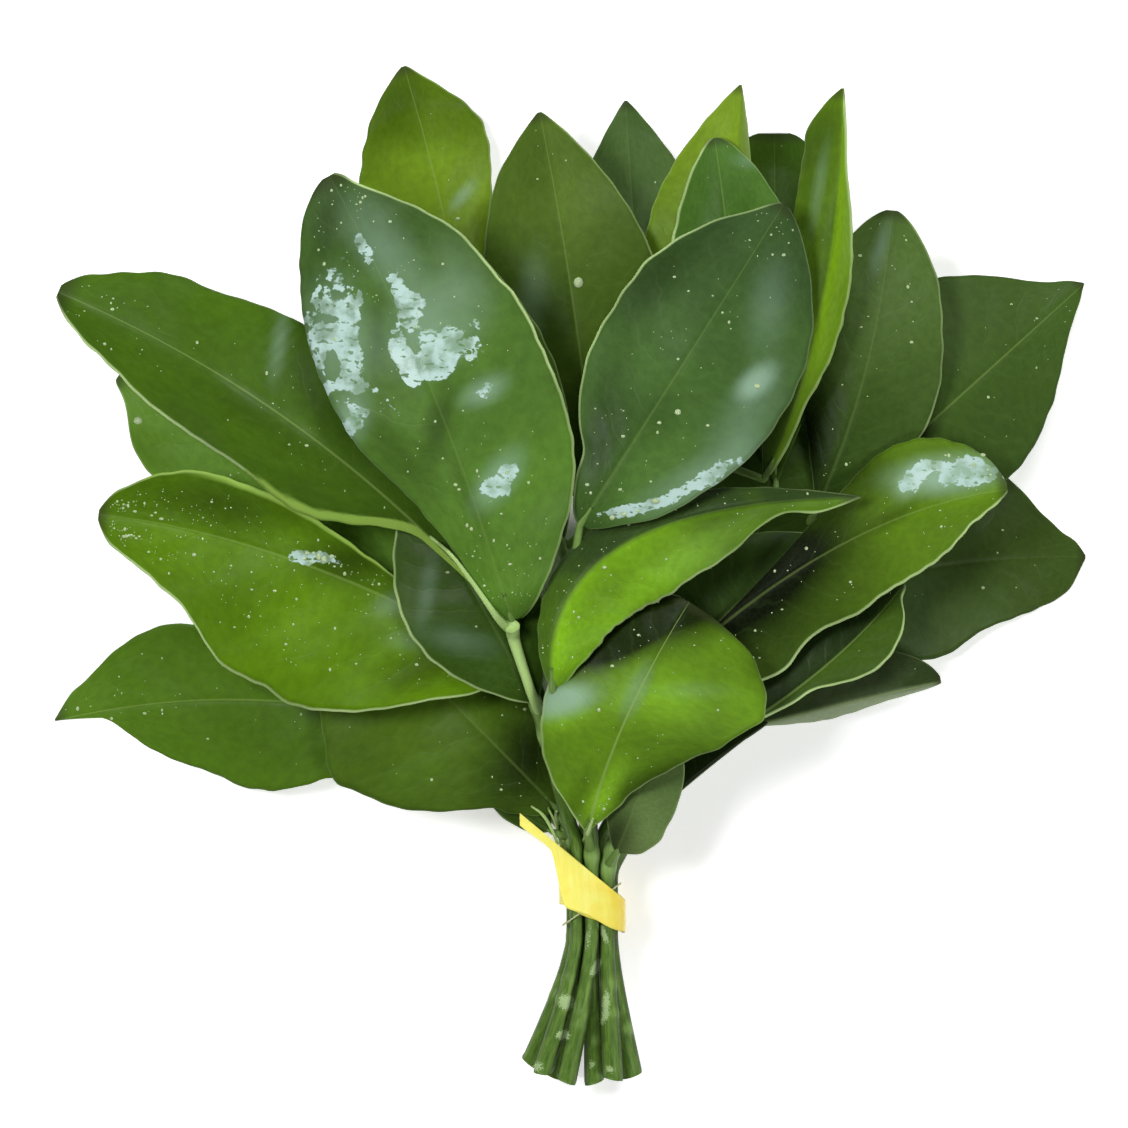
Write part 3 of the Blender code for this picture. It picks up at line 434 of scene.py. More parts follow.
def lay_stem(pile, sprig):
    """Lays the part of a stem past the tie on the pile, and returns its points."""
    across, up = neck_place(sprig)
    start = (across, NECK[1] + NECK_ABOVE - TAPE_SLANT * (across - NECK[0]))
    route = smooth_route((start,) + sprig.route)
    along = np.arange(len(route)) * STEM_STEP
    radius = stem_radius(route[:, 1])[:, None]
    height = up + sprig.slope * along
    forward = unit(np.gradient(route, axis=0))
    aside = np.linspace(-1, 1, ASIDE_COLUMNS) * (radius + STEM_ASIDE * ease(along / ASIDE_GROWS)[:, None])
    x = route[:, :1] - forward[:, 1:] * aside
    y = route[:, 1:] + forward[:, :1] * aside
    chord = np.sqrt(np.maximum(radius**2 - aside**2, 0.0))
    need = (pile.under(x, y) + STEM_CLEAR - (height[:, None] - chord)).max(axis=1)
    height = height + raised(along, np.where(along > STEMS_PART, need, 0.0))
    inside = np.abs(aside) <= radius
    pile.lay(x[inside], y[inside], (height[:, None] + chord)[inside])
    return np.column_stack([route, height])


def lay_bunch():
    """Lays every stem and leaf down in turn. Returns each sprig with its stem and its laid leaves."""
    pile = Pile()
    bunch = []
    for sprig in SPRIGS:
        stem = lay_stem(pile, sprig)
        bunch.append((sprig, stem, [lay_blade(pile, leaf, stem) for leaf in sprig.leaves]))
    for sprig, stem, laid in bunch:
        laid.extend(lay_blade(pile, leaf, stem) for leaf in sprig.late)
    return bunch


def cut_end(sprig):
    """Points of the stem from its cut end up to the tie, closing in on the others."""
    across, up = neck_place(sprig)
    near = NECK[1] - NECK_BELOW
    share = np.linspace(1, 0, CUT_SECTIONS)
    flare = share**FLARE_POWER
    x = across + flare * (sprig.cut[0] - across)
    z = up + flare * (sprig.cut[1] - up)
    return np.column_stack([x, near + (sprig.cut[2] - near) * share, z])


def stalk_start(stem, leaf):
    """The point of the stem at which this leaf's stalk sets out, a little before the blade's foot."""
    gap = np.linalg.norm(stem[:, :2] - np.array(leaf.foot), axis=1)
    nearest = int(gap.argmin())
    back = int(round(max(0.0, STALK_LENGTH - gap[nearest] / 2) / STEM_STEP))
    return stem[max(0, nearest - back)]


class Spot(NamedTuple):
    """An oval on the bunch, by pixels of the picture: its middle, and half its length and breadth."""

    column: float
    row: float
    reach: float
    breadth: float
    turn: float = 0.0  # degrees anticlockwise
    amount: float = 1.0  # at its middle; above one, the spot has a level middle


class Look(NamedTuple):
    """How one blade looks. Colours are in linear light."""

    deep: tuple
    fresh: tuple  # the lighter, yellower green that the deep one turns to, for fresher parts and for painted light
    turns: tuple = (0.3, 0.3, 0.0, 0.0)  # share of the lighter green at foot and tip, and what each half adds: partly the leaf's own tone, partly painted light and shade for ends and halves that face towards or away from the light
    rough: float = 0.36
    rib: float = 0.12  # how pale the midrib is
    film: tuple = ()  # spots of standing water: less rough, and painted white as a reflection of the light
    bloom: tuple = ()  # spots of painted sheen: a soft grey painted highlight
    shade: tuple = ()  # spots of painted shade, or of painted light where the amount is negative
    hem: tuple = ()  # a pale turned-up margin: side, from, to, width
    pale: tuple = (0.3, 0.3)  # how pale the margins of the left and right halves are: partly a paler edge, partly a painted edge highlight
    drops: int = 12


# for each stem, its blades in the order in which they are laid down
LOOKS = {
    "low_right": (
        Look((0.041, 0.075, 0.011), (0.071, 0.131, 0.034), (0.8, 0.1, 0.0, 0.0), 0.36, 0.05,
             shade=(Spot(905, 480, 60, 40, 0, 0.25),), pale=(0.1, 0.1), drops=14),
        Look((0.026, 0.046, 0.011), (0.250, 0.320, 0.180), (0.0, 0.0, 0.0, 1.0), 0.6, 0.3,
             pale=(0.1, 0.1), drops=2),
    ),
    "low_left": (
        Look((0.086, 0.181, 0.010), (0.158, 0.337, 0.039), (0.6, 0.4, 0.0, 0.0), pale=(0.5, 0.3), drops=10),
        Look((0.065, 0.144, 0.009), (0.099, 0.213, 0.014), (0.5, 0.3, 0.0, 0.1), rib=0.35,
             bloom=(Spot(250, 612, 44, 14, 25, 0.35),), pale=(0.1, 0.15), drops=60),
        Look((0.032, 0.068, 0.010), (0.050, 0.105, 0.012), drops=0),
        Look((0.053, 0.107, 0.010), (0.102, 0.202, 0.013), (0.0, 0.8, 0.0, 0.2), rib=0.15,
             shade=(Spot(530, 755, 110, 60, 60, 0.8),), pale=(0.2, 0.15), drops=40),
    ),
    "right_back": (
        Look((0.030, 0.062, 0.010), (0.050, 0.105, 0.012), drops=0),
        Look((0.036, 0.083, 0.007), (0.066, 0.140, 0.010), (0.0, 0.2, 0.0, 0.0), pale=(0.1, 0.1), drops=2),
        Look((0.034, 0.069, 0.011), (0.056, 0.110, 0.019), (0.2, 0.8, 0.0, 0.1), rib=0.25,
             pale=(0.1, 0.1), drops=36),
        Look((0.028, 0.061, 0.008), (0.080, 0.144, 0.031), (0.0, 0.9, 0.1, 0.0), rib=0.1,
             bloom=(Spot(880, 250, 46, 12, 75, 0.35),), shade=(Spot(795, 455, 130, 60, 75, 1.1),),
             pale=(0.2, 0.55), drops=34),
    ),
    "top_back": (
        Look((0.043, 0.101, 0.015), (0.085, 0.149, 0.043), (0.3, 0.6, 0.2, 0.0), pale=(0.1, 0.1), drops=6),
        Look((0.056, 0.127, 0.012), (0.172, 0.287, 0.015), (0.0, 1.0, 0.0, 0.0), drops=2),
        Look((0.034, 0.088, 0.008), (0.074, 0.174, 0.026), (0.0, 0.5, 0.0, 0.3), rib=0.25,
             bloom=(Spot(750, 160, 26, 14, 0, 0.3),), pale=(1.0, 0.3), drops=16),
        Look((0.040, 0.083, 0.008), (0.168, 0.326, 0.008), (-0.1, 0.35, 0.0, 0.8), rib=0.05,
             bloom=(Spot(818, 190, 70, 10, 80, 0.25),), pale=(0.2, 1.0), drops=6),
    ),
    "top_left": (
        Look((0.032, 0.068, 0.010), (0.050, 0.105, 0.012), drops=0),
        Look((0.080, 0.152, 0.006), (0.225, 0.372, 0.022), (1.0, 0.0, 0.0, 0.1), rib=0.25,
             bloom=(Spot(462, 195, 30, 10, 50, 0.5),),
             shade=(Spot(395, 100, 70, 40, 60, 0.35), Spot(440, 155, 60, 30, 20, -0.2),
                    Spot(480, 225, 50, 24, 60, 0.4)),
             pale=(0.1, 0.5), drops=14),
        Look((0.030, 0.063, 0.006), (0.086, 0.152, 0.018), (0.0, 0.75, -0.2, 0.1), rib=0.2,
             bloom=(Spot(533, 300, 70, 24, 85, 0.18),), pale=(0.2, 0.6), drops=16),
        Look((0.032, 0.068, 0.010), (0.080, 0.175, 0.020), drops=2),
    ),
    "right_front": (
        Look((0.009, 0.018, 0.003), (0.014, 0.028, 0.005), (0.0, 0.0, 0.0, 0.0), rib=0.0,
             pale=(0.1, 0.2), drops=4),
        Look((0.060, 0.125, 0.024), (0.142, 0.225, 0.066), (0.7, 0.4, 0.0, 0.3), 0.6, 0.1,
             shade=(Spot(612, 840, 70, 34, 70, 0.8),), drops=0),
        Look((0.017, 0.033, 0.008), (0.066, 0.136, 0.011), (-0.2, 0.0, 0.0, 0.7), rib=0.3,
             pale=(0.7, 0.9), drops=2),
        Look((0.020, 0.042, 0.008), (0.050, 0.105, 0.012), drops=0),
        Look((0.035, 0.070, 0.006), (0.098, 0.198, 0.008), (-0.3, 1.0, 0.0, 0.1), 0.5, rib=0.2,
             film=(Spot(962, 473, 78, 26, 6), Spot(914, 478, 34, 14, 55), Spot(931, 480, 26, 8, 55, -0.9),
                   Spot(950, 502, 90, 16, 8, -1.2)),
             bloom=(Spot(950, 474, 90, 30, 6, 0.9), Spot(910, 480, 34, 18, 55, 0.5)),
             shade=(Spot(720, 600, 190, 90, 35, 1.3), Spot(840, 470, 70, 50, 0, 0.7),
                    Spot(800, 560, 130, 50, 35, 0.5), Spot(895, 515, 50, 14, 30, 0.4),
                    Spot(975, 495, 60, 16, 20, -0.25)),
             pale=(0.1, 1.0), drops=90),
    ),
    "left_front": (
        Look((0.058, 0.128, 0.005), (0.122, 0.256, 0.005), (0.3, 0.2, 0.3, 0.0), rib=0.25,
             film=(Spot(310, 557, 36, 11, -6),),
             bloom=(Spot(400, 602, 40, 18, 15, 0.3), Spot(415, 640, 40, 18, 0, 0.25)),
             shade=(Spot(215, 505, 120, 34, -8, 0.45), Spot(350, 560, 90, 36, 5, 0.55),
                    Spot(420, 670, 70, 34, 20, 0.5), Spot(300, 620, 90, 40, 20, -0.15)),
             hem=(-1, 0.3, 0.9, 1.2), pale=(1.0, 0.5), drops=460),
        Look((0.032, 0.072, 0.007), (0.090, 0.166, 0.036), (0.0, 0.1, 0.0, 0.0), rib=0.1,
             bloom=(Spot(458, 640, 60, 22, -12, 0.22), Spot(428, 590, 60, 14, 80, 0.25)),
             pale=(1.0, 0.3), drops=6),
        Look((0.038, 0.084, 0.007), (0.071, 0.161, 0.008), (0.1, 0.7, 0.0, 0.0), rib=0.35,
             bloom=(Spot(280, 345, 60, 12, 80, 0.4),), shade=(Spot(260, 420, 110, 24, -33, 0.25),),
             hem=(1, 0.10, 0.55, 3.0), pale=(1.0, 0.1), drops=90),
        Look((0.046, 0.098, 0.020), (0.096, 0.213, 0.024), (0.9, 0.0, 0.0, 0.0), 0.4, 0.1,
             film=(Spot(345, 343, 96, 56, 95), Spot(376, 328, 72, 20, 84, -1.3), Spot(406, 303, 58, 24, -62),
                   Spot(402, 360, 50, 16, -72), Spot(442, 358, 62, 36, 38), Spot(402, 392, 40, 18, -60, -1.0),
                   Spot(352, 426, 34, 20, 70, 0.7), Spot(499, 484, 44, 18, 55),
                   Spot(485, 392, 28, 12, 30, 0.5), Spot(335, 367, 22, 11, 90, -1.8),
                   Spot(367, 401, 24, 10, -5, -1.6),
                   Spot(340, 322, 30, 7, -12, -0.8), Spot(366, 254, 34, 10, -65, 0.9),
                   Spot(380, 400, 50, 14, -15, 0.7)),
             bloom=(Spot(385, 250, 90, 40, -55, 0.45), Spot(462, 285, 70, 40, -60, 0.2),
                    Spot(430, 330, 80, 60, 30, 0.5), Spot(485, 392, 40, 20, 30, 0.6),
                    Spot(499, 480, 56, 26, 55, 0.55), Spot(352, 422, 44, 28, 70, 0.6),
                    Spot(340, 340, 90, 50, 95, 0.5)),
             shade=(Spot(440, 425, 70, 22, 75, 0.5), Spot(378, 335, 66, 14, 88, 0.3),
                    Spot(400, 455, 80, 30, -50, 0.35), Spot(470, 500, 70, 14, -66, 0.3),
                    Spot(330, 220, 80, 20, 75, 0.3)),
             pale=(0.1, 1.0), drops=200),
    ),
    "middle_front": (
        Look((0.032, 0.068, 0.010), (0.130, 0.268, 0.012), (0.7, 0.75, 0.0, 0.0), rib=0.55,
             bloom=(Spot(556, 701, 60, 24, 12, 1.3), Spot(636, 690, 44, 16, 65, 0.35),
                    Spot(690, 690, 60, 14, 0, 0.12)),
             shade=(Spot(665, 600, 160, 68, 12, 1.5), Spot(604, 645, 84, 36, 24, 1.3),
                    Spot(560, 700, 36, 16, 12, -0.4), Spot(765, 660, 60, 36, -70, 0.5),
                    Spot(638, 690, 70, 14, 62, 0.35), Spot(655, 785, 90, 30, 28, 0.8),
                    Spot(576, 800, 56, 16, 65, 0.3), Spot(680, 702, 120, 44, -4, -0.55),
                    Spot(606, 792, 60, 18, 62, -0.8), Spot(560, 714, 50, 30, 10, -0.7)),
             pale=(0.8, 0.35), drops=70),
        Look((0.028, 0.056, 0.012), (0.180, 0.388, 0.012), (0.5, 0.0, -0.3, 0.5), rib=0.1,
             shade=(Spot(606, 590, 90, 30, 45, 0.25), Spot(560, 640, 60, 16, 80, -0.2),
                    Spot(730, 515, 90, 16, 15, 0.35), Spot(680, 566, 110, 26, 35, -0.45)),
             pale=(0.2, 0.8), drops=110),
        Look((0.039, 0.080, 0.023), (0.076, 0.169, 0.031), (0.9, 0.0, 0.0, 0.1), 0.32, 0.15,
             film=(Spot(700, 482, 76, 13, 27), Spot(636, 508, 56, 10, 10)),
             bloom=(Spot(756, 382, 36, 20, 40, 1.0), Spot(768, 310, 80, 34, 80, 0.22),
                    Spot(700, 480, 110, 30, 27, 0.45), Spot(745, 420, 90, 40, 55, 0.3),
                    Spot(665, 215, 60, 20, 40, 0.15)),
             shade=(Spot(600, 440, 130, 46, 78, 0.6), Spot(650, 420, 60, 40, 60, 0.3),
                    Spot(690, 250, 90, 50, 50, 0.35), Spot(640, 290, 90, 40, 55, 0.4)),
             pale=(0.8, 0.4), drops=110),
    ),
}

BLADE_GRID = (112, 61)  # rows of points along a blade and columns across it
OUTLINE_STARTS = 0.004  # the outline starts and stops this far along
CROWDED = 0.55  # spacing of the columns at the midrib, beside their mean
THICK_AT_RIB, THICK_AT_MARGIN = 0.50, 0.26
FOLD_ROUND = 0.05  # share of a half over which the fold at the midrib is rounded
RIB_SUNK, RIB_UNDER, RIB_REACH = 0.25, 0.55, 0.75  # the midrib's groove above, its ridge below, their breadth
VEINS, VEIN_LEANS, VEIN_CURVES = 10.0, 0.13, 0.06  # how many side veins, and how they lean and curve forward
QUILT = 0.06  # how far the blade swells between its side veins
TEETH, TOOTH_PITCH = 0.16, 8.0  # height and mean length of the small waves along the margin
UNEVEN, UNEVEN_REACH = 0.33, 26.0
REST_HEIGHT, REST_SOFT = 0.42, 0.5  # how high over the table a blade's middle levels out, and how softly
UNDER_LOWEST = 0.05
LIFT_SMOOTHING = 50

FRESH_UNEVEN, FRESH_REACH = 0.12, 40.0  # blotches in how fresh the green is
SIDE_SOFT, HEM_SOFT = 2.0, 0.6  # how softly the halves' greens meet, and how softly a hem ends
MOST = 0.92  # the most that the spots of one kind come to

FRAME_PIXELS = 1128
PIXEL = 0.26  # millimetres seen in one pixel
VIEW_CENTRE = (-1.56, 2.6)
MIDDLE_COLUMN, MIDDLE_ROW = 570, 574  # the picture's pixel at the origin
LENS, SENSOR = 600.0, 36.0
FOCUS_HEIGHT = 25.0


def surface_mesh(name, points, faces, slots=None):
    """A smooth mesh piece from points in millimetres, lists of faces, and the material slot of each list."""
    mesh = bpy.data.meshes.new(name)
    mesh.from_pydata((np.asarray(points) * MM).tolist(), [], [f for part in faces for f in part.tolist()])
    if slots is not None:
        index = np.concatenate([np.full(len(part), slot, np.int32) for part, slot in zip(faces, slots)])
        mesh.polygons.foreach_set("material_index", index)
    mesh.shade_smooth()
    piece = bpy.data.objects.new(name, mesh)
    bpy.context.scene.collection.objects.link(piece)
    return piece


def mark(piece, name, values):
    """Stores one number or one triple for each vertex under the given name."""
    values = np.asarray(values, np.float32)
    kind, field = ("FLOAT_VECTOR", "vector") if values.ndim == 2 else ("FLOAT", "value")
    piece.data.attributes.new(name, kind, "POINT").data.foreach_set(field, values.ravel())


def settle(piece, node, slot_name, *materials):
    """The piece stands for its node and takes the given materials."""
    for material in materials:
        piece.data.materials.append(material)
    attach(piece, "root")
    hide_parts(node)


def round_turn(sides):
    """Evenly spaced directions, once round."""
    return np.linspace(0, 2 * math.pi, sides, endpoint=False)


def on_table(column, row):
    """Where a pixel of the picture lies, seen from above."""
    return (column - MIDDLE_COLUMN) * PIXEL, (MIDDLE_ROW - row) * PIXEL


def near_spot(points, spot):
    """The spot's amount at its middle, falling softly to nothing at the rim of the oval."""
    right = points[..., 0] / PIXEL + MIDDLE_COLUMN - spot.column
    up = points[..., 1] / PIXEL - MIDDLE_ROW + spot.row
    c, s = math.cos(math.radians(spot.turn)), math.sin(math.radians(spot.turn))
    far = np.hypot((right * c + up * s) / spot.reach, (up * c - right * s) / spot.breadth)
    return spot.amount * ease(1 - far)


def grid_faces(number):
    """Four-cornered faces between neighbouring rows and columns of vertex numbers."""
    return np.stack([number[:-1, :-1], number[1:, :-1], number[1:, 1:], number[:-1, 1:]], -1).reshape(-1, 4)


def back_to_back(upper, under):
    """Faces of a closed sheet from two equal grids of points, the second below the first, and its rim."""
    rows, columns = upper.shape[:2]
    number = np.arange(rows * columns).reshape(rows, columns)
    below = number.size
    ring = np.concatenate([number[:-1, 0], number[-1, :-1], number[:0:-1, -1], number[0, :0:-1]])
    after = np.roll(ring, -1)
    rim = np.stack([after, ring, ring + below, after + below], -1)
    points = np.concatenate([upper.reshape(-1, 3), under.reshape(-1, 3)])
    return points, [grid_faces(number), grid_faces(number)[:, ::-1] + below, rim]


def joined(parts):
    """One list of points and of face groups from several, with the vertex numbers moved up."""
    points, faces, shift = [], [], 0
    for placed, groups in parts:
        points.append(placed)
        faces += [group + shift for group in groups]
        shift += len(placed)
    return np.concatenate(points), faces


def normals_of(points):
    """Unit normals of a grid of points: the cross product of its two directions."""
    cross = np.cross(np.gradient(points, axis=0), np.gradient(points, axis=1))
    return cross / np.maximum(np.linalg.norm(cross, axis=-1, keepdims=True), 1e-12)


def uneven(rng, x, y, reach):
    """Gentle unevenness: the mean of eight plane waves of about the given reach, in random directions."""
    turn, start = rng.uniform(0, 2 * math.pi, (2, 8, 1, 1))
    size = reach * rng.uniform(0.7, 1.5, (8, 1, 1))
    waves = np.sin(2 * math.pi * (x * np.cos(turn) + y * np.sin(turn)) / size + start)
    return waves.mean(axis=0) * 2


def vein_phase(t, across):
    """Counts the side veins along a blade: each leans forward from the midrib and curves on to the margin."""
    out = np.abs(across)
    return VEINS * (t - VEIN_LEANS * out - VEIN_CURVES * out**2) + 0.25 * np.sign(across)


def blade_surface(leaf, foot_height, lift, rng):
    """Upper and under side of a blade, with its share along, share across, and half width at each point.

    The middle surface is the laid one. To it come teeth on the margin, a rounded fold, a swelling between the
    side veins as the cosine of their count, and a gentle unevenness. The sides stand off it along its normal,
    and the midrib is a groove above and a ridge below, both a bell curve of the distance from it.
    """
    rows, columns = BLADE_GRID
    u = np.linspace(0, 1, rows)[:, None]
    t = OUTLINE_STARTS + (1 - 2 * OUTLINE_STARTS) * (u - ROUND_ENDS * np.sin(2 * math.pi * u))
    v = np.linspace(-1, 1, columns)[None, :]
    across = v * (CROWDED + (1 - CROWDED) * v**2) + 0 * t
    t = t + 0 * across
    half = np.where(across > 0, half_width(leaf, 0, t), half_width(leaf, 1, t))
    step = np.linspace(0, 1, LAY_ROWS)
    even = evened(lift(step), LIFT_SMOOTHING)
    x, y, z = blade(leaf, foot_height, lambda share: np.interp(share, step, even), t, across)
    out = np.abs(across)
    slope = np.tan(np.radians(np.where(across > 0, *leaf.tilts)))
    z += half * slope * FOLD_STRAIGHT * (np.sqrt(out**2 + FOLD_ROUND**2) - out)
    leftward = midrib(leaf, t)[1]
    tooth = 2 * math.pi * length_of(leaf) / TOOTH_PITCH
    pitch, turn = rng.uniform(0.7, 1.4, 3), rng.uniform(0, 2 * math.pi, 3)
    teeth = sum(np.sin(tooth * p * t + a + 3 * across) for p, a in zip(pitch, turn))
    teeth = TEETH / 2 * teeth * out**6 * np.minimum(1, half / 6) * np.sign(across)
    x, y = x + leftward[..., 0] * teeth, y + leftward[..., 1] * teeth
    quilt = QUILT * np.cos(2 * math.pi * vein_phase(t, across)) * np.minimum(1, half / 12)
    z += quilt * ease(out * 3) * (1 - out**3) * ease(6 * t * (1 - t))
    z += UNEVEN * uneven(rng, x, y, UNEVEN_REACH)
    z = REST_HEIGHT + REST_SOFT * np.logaddexp(0, (z - REST_HEIGHT) / REST_SOFT)
    middle = np.stack([x, y, z], -1)
    up = normals_of(middle)
    thick = THICK_AT_RIB + (THICK_AT_MARGIN - THICK_AT_RIB) * out**2
    rib = np.exp(-((across * half / RIB_REACH) ** 2)) * (1 - 0.75 * t) * ease(10 * (1 - t))
    upper = middle + up * (thick / 2 - RIB_SUNK * rib)[..., None]
    under = middle - up * (thick / 2 + RIB_UNDER * rib)[..., None]
    under[..., 2] = np.maximum(under[..., 2], UNDER_LOWEST)
    return upper, under, up, t, across, half


def blade_piece(name, leaf, foot_height, lift, look, rng):
    """One blade as a closed shell, and for its drops the points, normals and distances to the midrib."""
    upper, under, up, t, across, half = blade_surface(leaf, foot_height, lift, rng)
    points, faces = back_to_back(upper, under)
    piece = surface_mesh(name, points, faces, (0, 1, 0))
    mark(piece, "place", np.tile(np.stack([t, across, half], -1).reshape(-1, 3), (2, 1)))
    # the share of the lighter green: painted light and shade along the blade and on each half, and random
    # blotches of fresher green
    at_foot, at_tip, on_left, on_right = look.turns
    side = ease(0.5 + across * half / SIDE_SOFT)
    fresh = at_foot + (at_tip - at_foot) * ease(t) + on_left * side + on_right * (1 - side)
    fresh = fresh + FRESH_UNEVEN * uneven(rng, upper[..., 0], upper[..., 1], FRESH_REACH)
    mark(piece, "fresh", np.tile(np.clip(fresh, 0, 1).ravel(), 2))
    for kind in ("film", "bloom", "shade"):
        spots = getattr(look, kind)
        if spots:
            total = np.clip(sum(near_spot(upper, spot) for spot in spots), -1.0, MOST)
            mark(piece, kind, np.tile(total.ravel(), 2))
    hem = np.zeros_like(t)
    if look.hem:
        side, start, stop, width = look.hem
        share = np.clip((t - start) / (stop - start), 0, 1)
        bow = width * np.sin(math.pi * share) ** 0.7
        hem = ease((bow - (1 - side * across) * half) / HEM_SOFT + 0.5) * (side * across > 0) * (bow > 0.05)
    mark(piece, "hem", np.tile(hem.ravel(), 2))
    return piece, (upper, up, np.abs(across * half))


def ring_bar(points, radius):
    """Points and faces of a closed bar: a ring of points round each point of a path, and a point at each end.

    radius gives for each ring and each direction the distance from the path.
    """
    rings, sides = radius.shape
    forward = unit(np.gradient(points, axis=0))
    aside = unit(np.cross(forward, (0.0, 0.0, 1.0)))
    over = np.cross(aside, forward)
    angle = round_turn(sides)
    rim = aside[:, None] * np.cos(angle)[:, None] + over[:, None] * np.sin(angle)[:, None]
    body = points[:, None] + rim * radius[..., None]
    number = np.arange(rings * sides).reshape(rings, sides)
    loop = np.concatenate([number, number[:, :1]], axis=1)
    first, last = number.size, number.size + 1
    ends = [
        np.stack([np.full(sides, first), loop[0, :-1], loop[0, 1:]], -1),
        np.stack([np.full(sides, last), loop[-1, 1:], loop[-1, :-1]], -1),
    ]
    return np.concatenate([body.reshape(-1, 3), points[:1], points[-1:]]), [grid_faces(loop)[:, ::-1], *ends]


def resampled(points, step):
    """The same path with evenly spaced points, and how far along it each of them is."""
    along = run_along(points)
    even = np.linspace(0, along[-1], max(4, int(along[-1] / step) + 1))
    return at_distances(points, along, even), even


STEM_GRID_SIDES, STALK_GRID_SIDES = 28, 18
STEM_GRID_STEP, STALK_GRID_STEP = 0.9, 0.6  # between rings
KNOT_SWELLS, KNOT_REACH = 0.42, 2.4  # how far a stem swells at a leaf stalk
BUDS_FROM, BUDS_TO, BUD_REACH, BUD_HEIGHT = 8, 42, 1.4, 0.6  # two small lumps near the cut end
BUD_PALE = 0.24
STALK_SIZES = ((0, 0.12, 0.4, 0.72, 1), (1.35, 1.05, 0.9, 0.8, 0.25))  # share along it, share of its radius
STALK_PALE, RUNNER_PALE = 0.55, 1.45
STALK_GRAIN, RUNNER_GRAIN = 200, 300  # where the bark's pattern starts on them
RUNNER_REACH = 1.6  # a runner lies on what is highest this near
CUT_SLANTS = (0.25, -0.35, 0.15, -0.1, 0.3, -0.25, 0.2, -0.15)
CUT_DOME = 0.25
TABLE_GAP = 0.02

# pale scars of the bark
SCARS = (
    Spot(566, 1003, 14, 13), Spot(596, 968, 16, 7, 65), Spot(606, 1003, 22, 7, 85, 0.8),
    Spot(563, 1036, 12, 8, 0, 1.1), Spot(588, 938, 26, 7, 80, 0.45), Spot(603, 933, 20, 5, -65, 1.0),
    Spot(604, 1020, 16, 8, 60, 0.5), Spot(538, 1068, 10, 12, 70, 0.6), Spot(592, 1066, 8, 8, 0, 0.6),
    Spot(610, 1070, 10, 6, -30, 0.7),
)
# thin pale stalks that lie on the leaves: pixels of the picture, and the radius at even steps
RUNNERS = {
    "left_front": (
        (((550, 748), (541, 718), (531, 692), (521, 662), (514, 640), (512, 626)),
         (1.3, 1.3, 1.3, 1.3, 1.5, 2.0)),
        (((430, 536), (452, 555), (470, 578), (487, 602), (500, 620), (511, 630)),
         (0.4, 0.45, 0.5, 0.65, 0.9, 1.3)),
        (((531, 806), (543, 815), (552, 830), (558, 845)), (0.25, 0.45, 0.45, 0.4)),
        (((548, 808), (555, 822), (560, 838)), (0.25, 0.4, 0.4)),
        (((556, 812), (559, 828), (563, 845), (566, 856)), (0.4, 0.8, 0.9, 0.9)),
    ),
    "middle_front": (
        (((593, 818), (588, 832), (583, 844), (577, 856)), (0.3, 0.55, 0.6, 0.6)),
    ),
}


class Bars:
    """The bars of one piece, with the grain and the paleness at each point."""

    def __init__(self):
        self.parts, self.slots, self.grain, self.pale = [], [], [], []

    def add(self, path, along, radius, pale, first_slot=0):
        """One more bar. Its grain is the distance along it, and the cosine and sine of the direction."""
        placed, faces = ring_bar(path, radius)
        angle = round_turn(radius.shape[1])
        around = np.tile(np.stack([np.cos(angle), np.sin(angle)], -1), (len(path), 1))
        body = np.column_stack([np.repeat(along, len(angle)), around])
        self.grain += [body, [[along[0], 0, 0], [along[-1], 0, 0]]]
        self.parts.append((placed, faces))
        self.slots += [0, first_slot, 0]
        self.pale.append(np.broadcast_to(pale, len(placed)))
        return placed


def runner(pixels, sizes, surfaces):
    """Path and radius of a pale stalk that lies on whatever is highest under it."""
    route = smooth_route([on_table(*pixel) for pixel in pixels])
    points = np.concatenate([surface.reshape(-1, 3) for surface in surfaces])
    gap = np.linalg.norm(route[:, None] - points[None, :, :2], axis=-1)
    top = np.where(gap < RUNNER_REACH, points[:, 2], -1.0).max(axis=1)
    steps = np.arange(len(route))
    found = top > 0
    height = evened(np.interp(steps, steps[found], top[found]), 4)
    size = np.interp(steps / steps[-1], np.linspace(0, 1, len(sizes)), sizes)
    line, along = resampled(np.column_stack([route, height + 0.6 * size]), STALK_GRID_STEP)
    return line, along, np.interp(along / along[-1], np.linspace(0, 1, len(size)), size)


